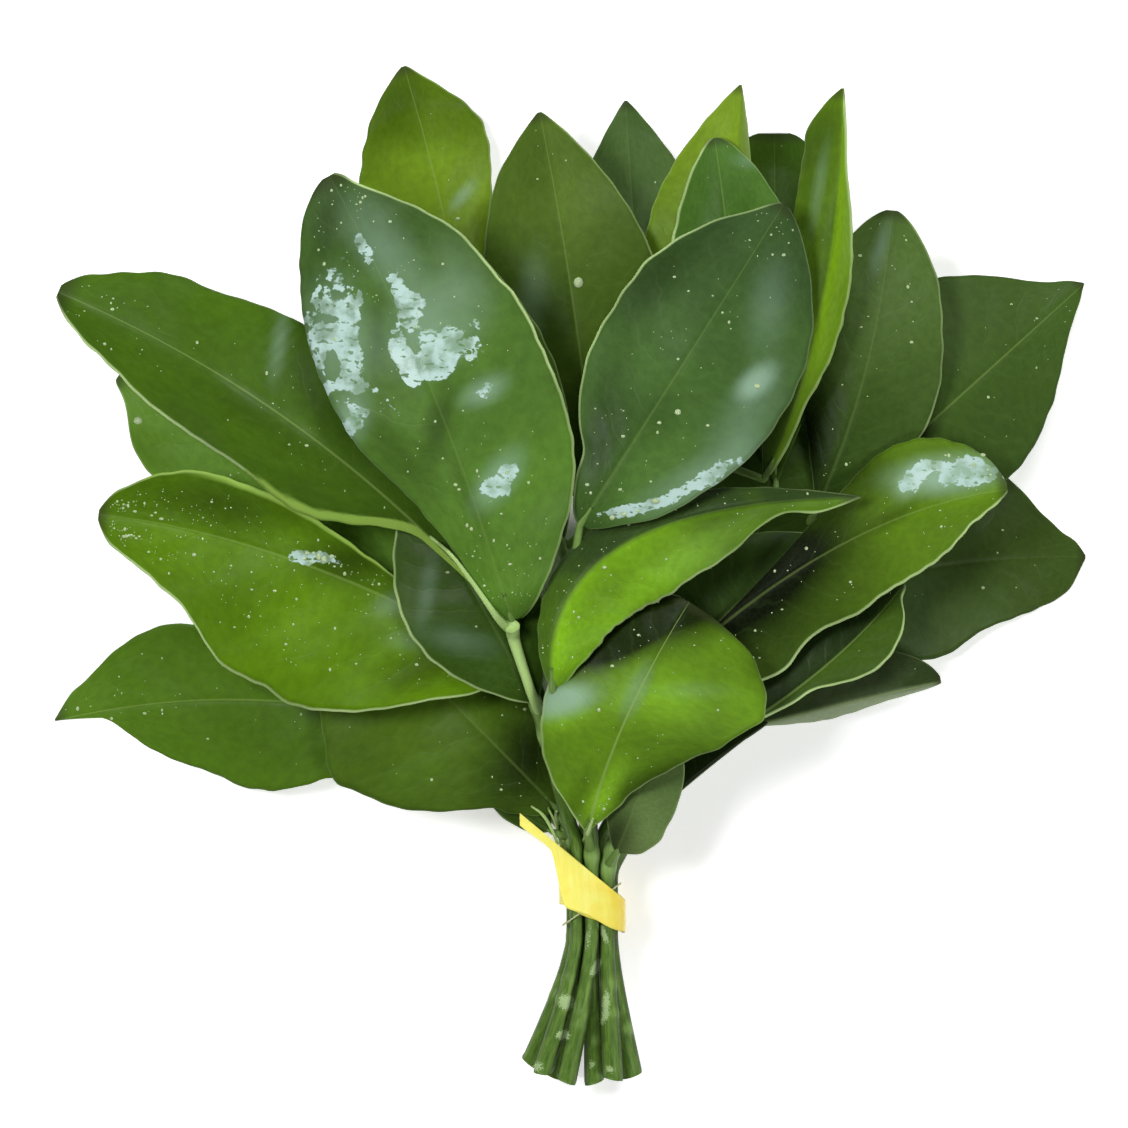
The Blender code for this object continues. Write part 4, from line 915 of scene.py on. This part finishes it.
def twig_piece(name, sprig, stem, laid, surfaces, rng, slant):
    """Stem, leaf stalks and runners.

    A stem's radius has low ridges as cosines of the direction, and to it come a swelling at each leaf stalk
    and two lumps, as bell curves of the distance from them. A stalk has a groove along its top.
    """
    bars = Bars()
    path, along = resampled(np.vstack([cut_end(sprig), stem[::TUBE_STEPS], stem[-1:]]), STEM_GRID_STEP)
    for axis in (0, 2):
        path[:, axis] = evened(path[:, axis], 6)
    starts = [stalk_start(stem, leaf) for leaf, *_ in laid]
    swell = sum(np.exp(-((np.linalg.norm(path - at, axis=1) / KNOT_REACH) ** 2)) for at in starts)
    buds = [path[0, 1] + far for far in rng.uniform(BUDS_FROM, BUDS_TO, 2)]
    bud = sum(np.exp(-(((path[:, 1] - y) / BUD_REACH) ** 2)) for y in buds)
    angle = round_turn(STEM_GRID_SIDES)
    turn = rng.uniform(0, 2 * math.pi) + 0.012 * along
    ridges = 1 + 0.022 * np.cos(4 * angle + turn[:, None]) + 0.03 * np.cos(2 * angle - turn[:, None])
    lump = bud[:, None] * np.clip(np.cos(angle - rng.uniform(0.6, 2.5)), 0, 1) ** 3
    size = stem_radius(path[:, 1]) + KNOT_SWELLS * np.minimum(swell, 1)
    radius = size[:, None] * ridges + BUD_HEIGHT * lump
    radius[0] *= 0.93
    pale = np.repeat(np.clip(swell + BUD_PALE * bud, 0, 1), STEM_GRID_SIDES)
    placed = bars.add(path, along, radius, np.append(pale, [0, 0]), 1)
    foot = np.exp(-((along[:4] / 1.2) ** 2))
    cut = placed[: 4 * STEM_GRID_SIDES].reshape(4, -1, 3)
    cut[..., 1] += foot[:, None] * slant * (cut[..., 0] - path[0, 0])
    placed[-2, 1] = placed[:STEM_GRID_SIDES, 1].mean() + CUT_DOME
    angle = round_turn(STALK_GRID_SIDES)
    groove = 1 - 0.13 * np.clip(np.sin(angle), 0, 1) ** 4
    for (leaf, foot_height, lift), start in zip(laid, starts):
        foot = np.array([*leaf.foot, foot_height + float(lift(0.0))])
        inside = np.array(blade(leaf, foot_height, lift, np.array(SUNK), np.array(0.0)))
        bow = (start + foot) / 2 + np.array([0.0, 0.0, STALK_BOW])
        up_to = parabola(start, bow, foot, np.linspace(0, 1, 20)[:, None])
        line = np.vstack([up_to, foot + (inside - foot) * np.linspace(0.1, 1, 8)[:, None]])
        line[:, 2] = evened(line[:, 2], 8)
        line, along = resampled(line, STALK_GRID_STEP)
        size = STALK_RADIUS * np.interp(along / along[-1], *STALK_SIZES)
        bars.add(line, along + STALK_GRAIN, size[:, None] * groove, STALK_PALE)
    for pixels, sizes in RUNNERS.get(name[: -len("_twig")], ()):
        line, along, size = runner(pixels, sizes, surfaces)
        bars.add(line, along + RUNNER_GRAIN, size[:, None] * (1 + 0.05 * np.cos(3 * angle)), RUNNER_PALE)
    points, faces = joined(bars.parts)
    points[:, 2] = np.maximum(points[:, 2], TABLE_GAP)
    piece = surface_mesh(name, points, faces, bars.slots)
    mark(piece, "grain", np.concatenate(bars.grain))
    mark(piece, "pale", np.concatenate(bars.pale))
    mark(piece, "scar", sum(near_spot(points, spot) for spot in SCARS))
    return piece


TAPE_GRID = (300, 25)
TAPE_WALL = 0.3


def tape_piece():
    """The tape as in its solid: a strip round the stems over its own start, then off as a free end that
    narrows.

    Small creases across the strip are sines of its length, fading at its edges.
    """
    turn = math.radians(TAPE_LEAVES - TAPE_START) * TAPE_INNER
    u, v = np.meshgrid(*(np.linspace(0, 1, count) for count in TAPE_GRID), indexing="ij")
    along = u * (turn + TAIL_LENGTH)
    angle = np.radians(TAPE_START) + np.minimum(along, turn) / TAPE_INNER
    off = np.maximum(along - turn, 0.0)
    over = ease((np.degrees(angle) - TAPE_GROWS) / (TAPE_GROWN - TAPE_GROWS))
    crease = 0.10 * np.sin(along * 1.9 + 2 * v) * np.sin(along * 0.37) + 0.06 * np.sin(along * 3.1 - 5 * v)
    radius = TAPE_INNER + (TAPE_OUTER - TAPE_INNER) * over + crease * np.sin(math.pi * v)
    x = radius * np.cos(angle) - off * np.sin(angle)
    z = radius * np.sin(angle) + off * TAIL_RISE
    width = TAPE_WIDTH - TAPE_SPREADS * x
    width += (TAIL_WIDTH - width) * ease((off - TAIL_STARTS) / TAIL_NARROWS)
    y = TAPE_TOP - TAPE_SLANT * x - (1 - v) * width
    y += 0.25 * np.sin(along * 0.55 + 1) * (1 - v) ** 2
    middle = np.stack([x, y, z], -1) + NECK
    out = normals_of(middle) * TAPE_WALL / 2
    points, faces = back_to_back(middle + out, middle - out)
    piece = surface_mesh("tape_strip", points, faces)
    mark(piece, "strip", np.tile(np.stack([along / 10, v, over], -1).reshape(-1, 3), (2, 1)))
    return piece


THREAD_TURNS, STRAND_OFF, STRAND_RADIUS = 22, 0.13, 0.14
THREAD_RINGS, THREAD_RING_SIDES = 480, 8


def closed_ring(line, radius, sides):
    """A round bar along a closed line whose first and last points are the same."""
    forward = np.gradient(line[:-1], axis=0)
    forward[0] = forward[-1] = line[1] - line[-2]
    forward = unit(forward)
    away = line[:-1] - line[:-1].mean(axis=0)
    away = unit(away - forward * (away * forward).sum(-1, keepdims=True))
    over = np.cross(forward, away)
    angle = round_turn(sides)[:, None]
    body = line[:-1, None] + radius * (away[:, None] * np.cos(angle) + over[:, None] * np.sin(angle))
    number = np.arange((len(line) - 1) * sides).reshape(-1, sides)
    return body.reshape(-1, 3), [grid_faces(np.pad(number, ((0, 1), (0, 1)), "wrap"))]


def thread_piece():
    """Two strands twisted round each other along a slanting ring: the middle of each circles its line."""
    parts = []
    angle = np.linspace(0, 2 * math.pi, THREAD_RINGS + 1)
    for strand in (0.0, math.pi):
        twist = THREAD_TURNS * angle + strand
        radius = THREAD_RING + STRAND_OFF * np.cos(twist)
        x = radius * np.cos(angle)
        y = THREAD_LOWER + THREAD_SLANT * x + STRAND_OFF * np.sin(twist)
        line = np.stack([x, y, radius * np.sin(angle)], -1) + NECK
        parts.append(closed_ring(line, STRAND_RADIUS, THREAD_RING_SIDES))
    return surface_mesh("tie_strands", *joined(parts))


DROP_RINGS, DROP_SIDES = 3, 8
DROP_LEAST, DROP_SPREADS, FEW_LARGE = 0.14, 0.46, 5  # radius of the least, what chance adds, and its power
DROP_OFF_RIB = 1.2
DROP_HEIGHT, DROP_SUNK = 0.62, 0.12  # shares of the radius
DROP_STRETCH = (0.8, 1.25)
EDGE_ROWS, EDGE_COLUMNS = 6, 5  # no drop on the outermost of the blade's grid
# the larger drops of the picture: blade, and for each the pixel and the radius
DROPS_BY_PIXEL = {
    "low_left": {0: ((138, 421, 1.2),)},
    "top_left": {2: ((578, 285, 1.5),)},
    "left_front": {0: ((318, 556, 0.9), (325, 560, 1.0), (308, 553, 0.6), (333, 557, 0.7), (312, 562, 0.5))},
    "middle_front": {
        2: ((755, 385, 0.8), (678, 413, 0.9), (612, 518, 0.8), (655, 500, 0.9), (625, 515, 0.7)),
    },
    "right_front": {4: ((985, 452, 0.7), (948, 455, 0.6))},
}


def drop_places(surfaces, looks, rng, by_pixel):
    """Middle, normal and radius of each drop on one stem's blades: the random ones, then the placed ones."""
    found = []
    for number, ((upper, up, off_rib), look) in enumerate(zip(surfaces, looks)):
        for _ in range(look.drops):
            row = rng.integers(EDGE_ROWS, BLADE_GRID[0] - EDGE_ROWS)
            column = rng.integers(EDGE_COLUMNS, BLADE_GRID[1] - EDGE_COLUMNS)
            if off_rib[row, column] >= DROP_OFF_RIB:
                size = DROP_LEAST + DROP_SPREADS * rng.random() ** FEW_LARGE
                found.append((upper[row, column], up[row, column], size))
        for *pixel, size in by_pixel.get(number, ()):
            gap = np.linalg.norm(upper[..., :2] - on_table(*pixel), axis=-1)
            at = np.unravel_index(gap.argmin(), gap.shape)
            found.append((upper[at], up[at], size))
    return (np.array(values) for values in zip(*found))


def drops_piece(name, surfaces, looks, rng, by_pixel):
    """Water drops on the blades of one stem: low domes, each of rings along a quarter circle."""
    centres, ups, sizes = drop_places(surfaces, looks, rng, by_pixel)
    ups *= np.sign(ups[:, 2:])
    aside = unit(np.cross(ups, (0.0, 1.0, 0.1)))
    ahead = np.cross(ups, aside)
    stretch = rng.uniform(*DROP_STRETCH, (len(sizes), 1, 1, 1))
    turn = round_turn(DROP_SIDES)[:, None]
    lean = np.linspace(0, math.pi / 2, DROP_RINGS + 1)[:-1, None, None]
    size = sizes[:, None, None, None]
    around = aside[:, None, None] * np.cos(turn) * stretch + ahead[:, None, None] * np.sin(turn) / stretch
    rise = size * (DROP_HEIGHT * np.sin(lean) - DROP_SUNK)
    rings = centres[:, None, None] + around * (size * np.cos(lean)) + ups[:, None, None] * rise
    tops = centres + ups * (sizes * (DROP_HEIGHT - DROP_SUNK))[:, None]
    feet = centres - ups * (sizes * DROP_SUNK)[:, None]
    points = np.concatenate([rings.reshape(len(sizes), -1, 3), tops[:, None], feet[:, None]], 1)
    each = points.shape[1]
    number = np.arange(each - 2).reshape(DROP_RINGS, DROP_SIDES)
    loop = np.hstack([number, number[:, :1]])
    wall = np.stack([loop[:-1, :-1], loop[:-1, 1:], loop[1:, 1:], loop[1:, :-1]], -1).reshape(-1, 4)
    top = np.stack([loop[-1, :-1], loop[-1, 1:], np.full(DROP_SIDES, each - 2)], -1)
    foot = np.stack([loop[0, 1:], loop[0, :-1], np.full(DROP_SIDES, each - 1)], -1)
    shift = (np.arange(len(sizes)) * each)[:, None, None]
    faces = [(part[None] + shift).reshape(-1, part.shape[1]) for part in (wall, top, foot)]
    return surface_mesh(name, points.reshape(-1, 3), faces)


class Nodes:
    """The nodes of a material or of the sky. Each method adds one and gives back what comes out of it."""

    def __init__(self, owner):
        owner.use_nodes = True
        self.owner, self.tree = owner, owner.node_tree

    def feed(self, socket, value):
        if isinstance(value, bpy.types.NodeSocket):
            self.tree.links.new(value, socket)
        elif socket.type == "RGBA":
            socket.default_value = (*value, 1.0)
        else:
            socket.default_value = value

    def add(self, kind, inputs, out=0, **settings):
        node = self.tree.nodes.new("ShaderNode" + kind)
        for name, value in settings.items():
            setattr(node, name, value)
        for key, value in inputs.items():
            self.feed(node.inputs[key], value)
        return node.outputs[out]

    def where(self):
        return self.add("TexCoord", {}, "Object")

    def read(self, name, out="Fac"):
        return self.add("Attribute", {}, out, attribute_name=name)

    def moved(self, vector, scale):
        return self.add("Mapping", {"Vector": vector, "Scale": scale})

    def noise(self, vector, scale, detail=2.0, rough=0.5):
        return self.add("TexNoise", {"Vector": vector, "Scale": scale, "Detail": detail, "Roughness": rough})

    def math(self, operation, a, b=0.0, clamp=False):
        return self.add("Math", {0: a, 1: b}, operation=operation, use_clamp=clamp)

    def times(self, a, b, clamp=False):
        return self.math("MULTIPLY", a, b, clamp)

    def plus(self, a, b, clamp=False):
        return self.math("ADD", a, b, clamp)

    def less(self, a, b):
        return self.math("SUBTRACT", a, b)

    def ramp(self, value, low, high, to_low=0.0, to_high=1.0):
        """A soft step from one value to another."""
        inputs = {"Value": value, "From Min": low, "From Max": high, "To Min": to_low, "To Max": to_high}
        return self.add("MapRange", inputs, interpolation_type="SMOOTHSTEP")

    def net(self, vector, scale, width):
        """A net of thin lines."""
        gap = self.add("TexVoronoi", {"Vector": vector, "Scale": scale}, feature="DISTANCE_TO_EDGE")
        return self.ramp(gap, 0.0, width, 1.0, 0.0)

    def mix(self, share, a, b, kind="MIX"):
        return self.add("Mix", {0: share, 6: a, 7: b}, 2, data_type="RGBA", blend_type=kind)

    def grey(self, value):
        return self.add("CombineColor", {0: value, 1: value, 2: value})

    def dimmed(self, colour, share):
        return self.mix(1.0, colour, self.grey(share), "MULTIPLY")

    def bump(self, height, strength, distance):
        return self.add("Bump", {"Height": height, "Strength": strength, "Distance": distance})

    def finish(self, **sockets):
        """Sets the shader's own sockets and gives back the material."""
        shader = self.tree.nodes["Principled BSDF"]
        for name, value in sockets.items():
            self.feed(shader.inputs[name.replace("_", " ")], value)
        return self.owner


def material(name):
    return Nodes(bpy.data.materials.new(name))


# the pale margin is partly a painted edge highlight
PALE_RIB, PALE_MARGIN_AND_HIGHLIGHT, PALE_VEIN = (0.26, 0.38, 0.10), (0.50, 0.68, 0.28), (0.16, 0.27, 0.07)
HEM_LIME, TIP_BROWN = (0.26, 0.42, 0.07), (0.030, 0.038, 0.014)
# painted light: the white that standing water reflects, and a grey sheen
PAINTED_REFLECTION_WHITE, PAINTED_SHEEN_GREY = (0.45, 0.62, 0.57), (0.28, 0.43, 0.31)


def blade_finish(name, look):
    """The waxy upper side: two greens in blotches, also mixed as painted light and shade, the midrib, veins,
    a pale margin that is partly a painted edge highlight, spots of painted shade and of painted grey sheen,
    and a water film painted white as a reflection.
    """
    f = material(name)
    where, place = f.where(), f.read("place", "Vector")
    along, across, half = f.add("SeparateXYZ", {0: place}).node.outputs
    out = f.math("ABSOLUTE", across)
    edge = f.times(f.less(1.0, out), half)
    blotch = f.ramp(f.noise(where, 38.0, 3.0), 0.3, 0.7, -0.14, 0.14)
    colour = f.mix(f.plus(f.read("fresh"), blotch, clamp=True), look.deep, look.fresh)
    streak = f.noise(f.moved(place, (14.0, 3.0, 0.0)), 3.0, 4.0, 0.6)
    dim = f.ramp(streak, 0.25, 0.75, 0.88, 1.10)
    # painted shade: the spots darken the blade's colour, and lighten it where their amount is negative
    if look.shade:
        dim = f.times(dim, f.less(1.0, f.read("shade")))
    colour = f.dimmed(colour, dim)
    warp = f.ramp(f.noise(where, 90.0), 0.2, 0.8, -0.035, 0.035)
    leaning = f.plus(f.times(f.times(out, out), VEIN_CURVES), f.times(out, VEIN_LEANS))
    count = f.times(f.less(f.plus(along, warp), leaning), VEINS)
    count = f.plus(count, f.times(f.math("SIGN", across), 0.25))
    off = f.math("ABSOLUTE", f.less(f.math("FRACT", count), 0.5))
    vein = f.times(f.ramp(off, 0.0, 0.10, 1.0, 0.0), f.ramp(edge, 1.0, 5.0))
    nerve = f.net(where, 620.0, 0.12)
    for lines, amount in ((vein, 0.035), (nerve, 0.02)):
        colour = f.mix(f.times(lines, amount), colour, PALE_VEIN)
    # painted sheen: a soft grey highlight mixed into the colour, in patches
    if look.bloom:
        cloud = f.ramp(f.noise(where, 70.0, 3.0), 0.2, 0.8, 0.65, 1.15)
        colour = f.mix(f.times(f.read("bloom"), cloud, clamp=True), colour, PAINTED_SHEEN_GREY)
    rib_reach = f.plus(f.times(f.less(1.0, along), 0.45), 0.16)
    rib = f.ramp(f.math("DIVIDE", f.times(out, half), rib_reach), 0.35, 1.0, 1.0, 0.0)
    colour = f.mix(f.times(rib, look.rib), colour, PALE_RIB)
    # pale margin: partly the leaf's paler edge, partly a painted highlight along it
    patchy = f.ramp(f.noise(where, 26.0, 1.0), 0.4, 0.6, 0.55, 1.0)
    sided = f.ramp(f.math("GREATER_THAN", across, 0.0), 0.0, 1.0, look.pale[1], look.pale[0])
    margin_and_highlight = f.ramp(f.math("DIVIDE", edge, f.plus(sided, 0.4)), 0.25, 0.7, 1.0, 0.0)
    colour = f.mix(f.times(margin_and_highlight, f.times(patchy, sided)), colour, PALE_MARGIN_AND_HIGHLIGHT)
    colour = f.mix(f.ramp(along, 0.955, 0.99, 0.0, 0.65), colour, TIP_BROWN)
    colour = f.mix(f.read("hem"), colour, HEM_LIME)
    rough = f.ramp(f.noise(where, 130.0, 3.0), 0.3, 0.7, look.rough - 0.05, look.rough + 0.07)
    height = f.times(f.plus(vein, f.times(nerve, 0.25)), -0.6)
    height = f.plus(height, f.times(f.noise(where, 420.0), 0.25))
    height = f.plus(height, f.times(f.noise(where, 36.0, 1.0), 26.0))
    # standing water: its lower roughness is real, its white is a painted reflection of the light
    if look.film:
        holes = f.ramp(f.noise(where, 230.0, 3.0, 0.6), 0.3, 0.7, -0.42, 0.22)
        film = f.ramp(f.plus(f.read("film"), holes), 0.24, 0.34)
        fleck = f.ramp(f.noise(f.moved(where, (1.0, 1.9, 1.0)), 480.0, 1.5), 0.60, 0.65, 1.0, 0.1)
        film = f.times(film, fleck)
        reflection_patchiness = f.ramp(f.noise(where, 210.0, 3.0), 0.34, 0.60, 0.30, 1.0)
        colour = f.mix(f.times(film, reflection_patchiness), colour, PAINTED_REFLECTION_WHITE)
        rough = f.mix(film, f.grey(rough), (0.15, 0.15, 0.15))
    normal = f.bump(height, 0.4, 0.0001)
    return f.finish(Base_Color=colour, Roughness=rough, Specular_IOR_Level=0.055, Normal=normal)


def underside_finish():
    """The duller, paler under side, with a net of veins."""
    f = material("leaf_underside")
    nerve = f.net(f.where(), 420.0, 0.15)
    colour = f.mix(f.noise(f.where(), 45.0, 3.0), (0.085, 0.150, 0.045), (0.150, 0.225, 0.085))
    colour = f.mix(f.times(nerve, 0.25), colour, (0.24, 0.32, 0.15))
    return f.finish(Base_Color=colour, Roughness=0.62, Normal=f.bump(nerve, 0.3, 0.0003))


def twig_finish():
    """Green bark with long pale and dark streaks, painted shade that makes each bar darker on its under side
    and lighter on top, and paler at knots, stalks and scars.
    """
    f = material("green_bark")
    grain, pale = f.read("grain", "Vector"), f.read("pale")
    streak = f.noise(f.moved(grain, (0.035, 1.0, 1.0)), 4.5, 4.0, 0.6)
    patch = f.noise(f.moved(grain, (0.12, 1.0, 1.0)), 1.6, 3.0)
    wart = f.noise(f.moved(grain, (0.9, 1.6, 1.6)), 3.2)
    up = f.add("SeparateXYZ", {0: grain}, 2)
    scar = f.plus(f.read("scar"), f.ramp(wart, 0.3, 0.7, -0.2, 0.2))
    colour = f.mix(f.ramp(streak, 0.3, 0.7), (0.050, 0.110, 0.012), (0.110, 0.205, 0.032))
    colour = f.mix(f.ramp(patch, 0.45, 0.75, 0.0, 0.6), colour, (0.170, 0.295, 0.048))
    # painted shade: darker on the under side of stem and stalks, lighter on top
    colour = f.dimmed(colour, f.ramp(up, 0.1, 0.95, 0.35, 1.15))
    colour = f.mix(f.times(pale, 0.75, clamp=True), colour, (0.270, 0.440, 0.125))
    colour = f.mix(f.ramp(pale, 1.05, 1.5, 0.0, 0.85), colour, (0.44, 0.64, 0.22))
    colour = f.mix(f.ramp(scar, 0.25, 0.6, 0.0, 0.85), colour, (0.42, 0.58, 0.27))
    colour = f.mix(f.ramp(wart, 0.68, 0.74, 0.0, 0.5), colour, (0.34, 0.40, 0.22))
    normal = f.bump(f.plus(streak, f.times(wart, 0.5)), 0.4, 0.0003)
    return f.finish(Base_Color=colour, Roughness=0.4, Specular_IOR_Level=0.2, Normal=normal)


def cut_finish():
    """The cut face: pale wood and pith."""
    f = material("cut_wood")
    colour = f.mix(f.noise(f.where(), 600.0, 3.0), (0.16, 0.24, 0.07), (0.50, 0.56, 0.28))
    return f.finish(Base_Color=colour, Roughness=0.7, Normal=f.bump(f.noise(f.where(), 900.0), 0.5, 0.0004))


def tape_finish():
    """Thin yellow tape with faint creases: lemon on its left, and amber on its right where it lies double."""
    f = material("yellow_tape")
    where = f.where()
    right = f.add("SeparateXYZ", {0: where})
    cloud = f.ramp(f.noise(where, 240.0, 3.0), 0.3, 0.7, -0.25, 0.25)
    amber = f.plus(f.ramp(right, 0.003, 0.019), cloud, clamp=True)
    colour = f.mix(amber, (0.97, 0.88, 0.16), (0.95, 0.66, 0.035))
    crease = f.noise(f.moved(f.read("strip", "Vector"), (9.0, 1.2, 0.0)), 2.0, 3.0)
    return f.finish(Base_Color=colour, Roughness=0.42, Subsurface_Weight=0.25, Subsurface_Scale=0.5,
                    Subsurface_Radius=(0.004, 0.003, 0.001), Normal=f.bump(crease, 0.35, 0.0004))


def thread_finish():
    """Dull pale fibre."""
    f = material("pale_thread")
    fibre = f.noise(f.where(), 2600.0, 3.0)
    colour = f.mix(fibre, (0.42, 0.47, 0.20), (0.72, 0.74, 0.45))
    return f.finish(Base_Color=colour, Roughness=0.8, Normal=f.bump(fibre, 0.7, 0.0002))


def drop_finish():
    """Water, with the green of the leaf in it; its pale green is painted light, for the light that a clear
    drop gathers.
    """
    f = material("water")
    return f.finish(Base_Color=(0.55, 0.70, 0.38), Roughness=0.08, IOR=1.33, Transmission_Weight=0.25)


FIRST_SEED = 40


def dress_bunch():
    """Every stem with its blades, its twig and its drops, then the tape and the thread."""
    underside, bark, wood, water = underside_finish(), twig_finish(), cut_finish(), drop_finish()
    laid_so_far = []
    for number, (sprig, stem, laid) in enumerate(lay_bunch()):
        rng = np.random.default_rng(FIRST_SEED + number)
        node = sprig.name
        word = node[: -len("_stem")]
        slot = word + "_leaf"
        surfaces = []
        for order, ((leaf, foot_height, lift), look) in enumerate(zip(laid, LOOKS[word])):
            name = f"{word}_blade_{order + 1}"
            piece, surface = blade_piece(name, leaf, foot_height, lift, look, rng)
            settle(piece, node, slot, blade_finish(name, look), underside)
            surfaces.append(surface)
        laid_so_far += [surface[0] for surface in surfaces] + [stem]
        twig = twig_piece(word + "_twig", sprig, stem, laid, laid_so_far, rng, CUT_SLANTS[number])
        settle(twig, node, slot, bark, wood)
        drops = drops_piece(word + "_drops", surfaces, LOOKS[word], rng, DROPS_BY_PIXEL.get(word, {}))
        settle(drops, node, None, water)
    settle(tape_piece(), "tape_band", "tape", tape_finish())
    settle(thread_piece(), "tie_thread", "thread", thread_finish())


def camera():
    """Looks straight down on the bunch through a long lens."""
    data = bpy.data.cameras.new("camera")
    data.lens, data.sensor_width = LENS, SENSOR
    data.clip_end = 50.0
    seen = FRAME_PIXELS * PIXEL
    holder = bpy.data.objects.new("camera", data)
    holder.location = (VIEW_CENTRE[0] * MM, VIEW_CENTRE[1] * MM, (FOCUS_HEIGHT + seen * LENS / SENSOR) * MM)
    bpy.context.scene.collection.objects.link(holder)
    bpy.context.scene.camera = holder


def softbox(name, azimuth, elevation, distance, size, power):
    """A square lamp that faces the bunch. Azimuth runs from +X towards +Y, and lengths are in metres."""
    data = bpy.data.lights.new(name, "AREA")
    data.size, data.energy = size, power
    lamp = bpy.data.objects.new(name, data)
    a, e = math.radians(azimuth), math.radians(elevation)
    flat = distance * math.cos(e)
    lamp.location = (flat * math.cos(a), flat * math.sin(a), distance * math.sin(e))
    lamp.rotation_mode = "QUATERNION"
    lamp.rotation_quaternion = lamp.location.to_track_quat("Z", "Y")
    bpy.context.scene.collection.objects.link(lamp)


FLOOR_REACH = 20000.0
FLOOR_GLOW = 0.50  # keeps the shadows on the floor faint
GLOW_MIDDLE, GLOW_FROM, GLOW_FULL = (-5.0, -15.0), 26.0, 40.0  # under the leaves it doesn't glow


def studio():
    """A pale floor, three softboxes, and a sky that is dimmer overhead than near the horizon."""
    corners = np.array([[-1, -1, 0], [1, -1, 0], [1, 1, 0], [-1, 1, 0]]) * FLOOR_REACH
    floor = surface_mesh("floor", corners, [np.array([[0, 1, 2, 3]])])
    f = material("pale_floor")
    tone = f.mix(f.noise(f.where(), 3.0), (0.93, 0.93, 0.93), (0.95, 0.95, 0.94))
    middle = (GLOW_MIDDLE[0] * MM, GLOW_MIDDLE[1] * MM, 0.0)
    aside = f.add("VectorMath", {0: f.where(), 1: middle}, 1, operation="DISTANCE")
    glow = f.ramp(aside, GLOW_FROM * MM, GLOW_FULL * MM, 0.0, FLOOR_GLOW)
    floor.data.materials.append(f.finish(Base_Color=tone, Roughness=0.9, Specular_IOR_Level=0.1,
                                         Emission_Color=(1.0, 1.0, 1.0), Emission_Strength=glow))
    world = bpy.data.worlds.new("studio")
    bpy.context.scene.world = world
    sky = Nodes(world)
    up = sky.add("SeparateXYZ", {0: sky.add("TexCoord", {}, "Generated")}, 2)
    sky.feed(sky.tree.nodes["Background"].inputs["Strength"], sky.ramp(up, 0.35, 0.95, 1.05, 0.14))
    softbox("upper_left_softbox", 160, 62, 1.3, 0.40, 10.5)
    softbox("top_softbox", 75, 45, 1.4, 0.50, 8.0)
    softbox("lower_right_softbox", -35, 45, 1.5, 0.50, 8.0)
    bpy.context.scene.view_settings.view_transform = "Standard"


dress_bunch()
camera()
studio()
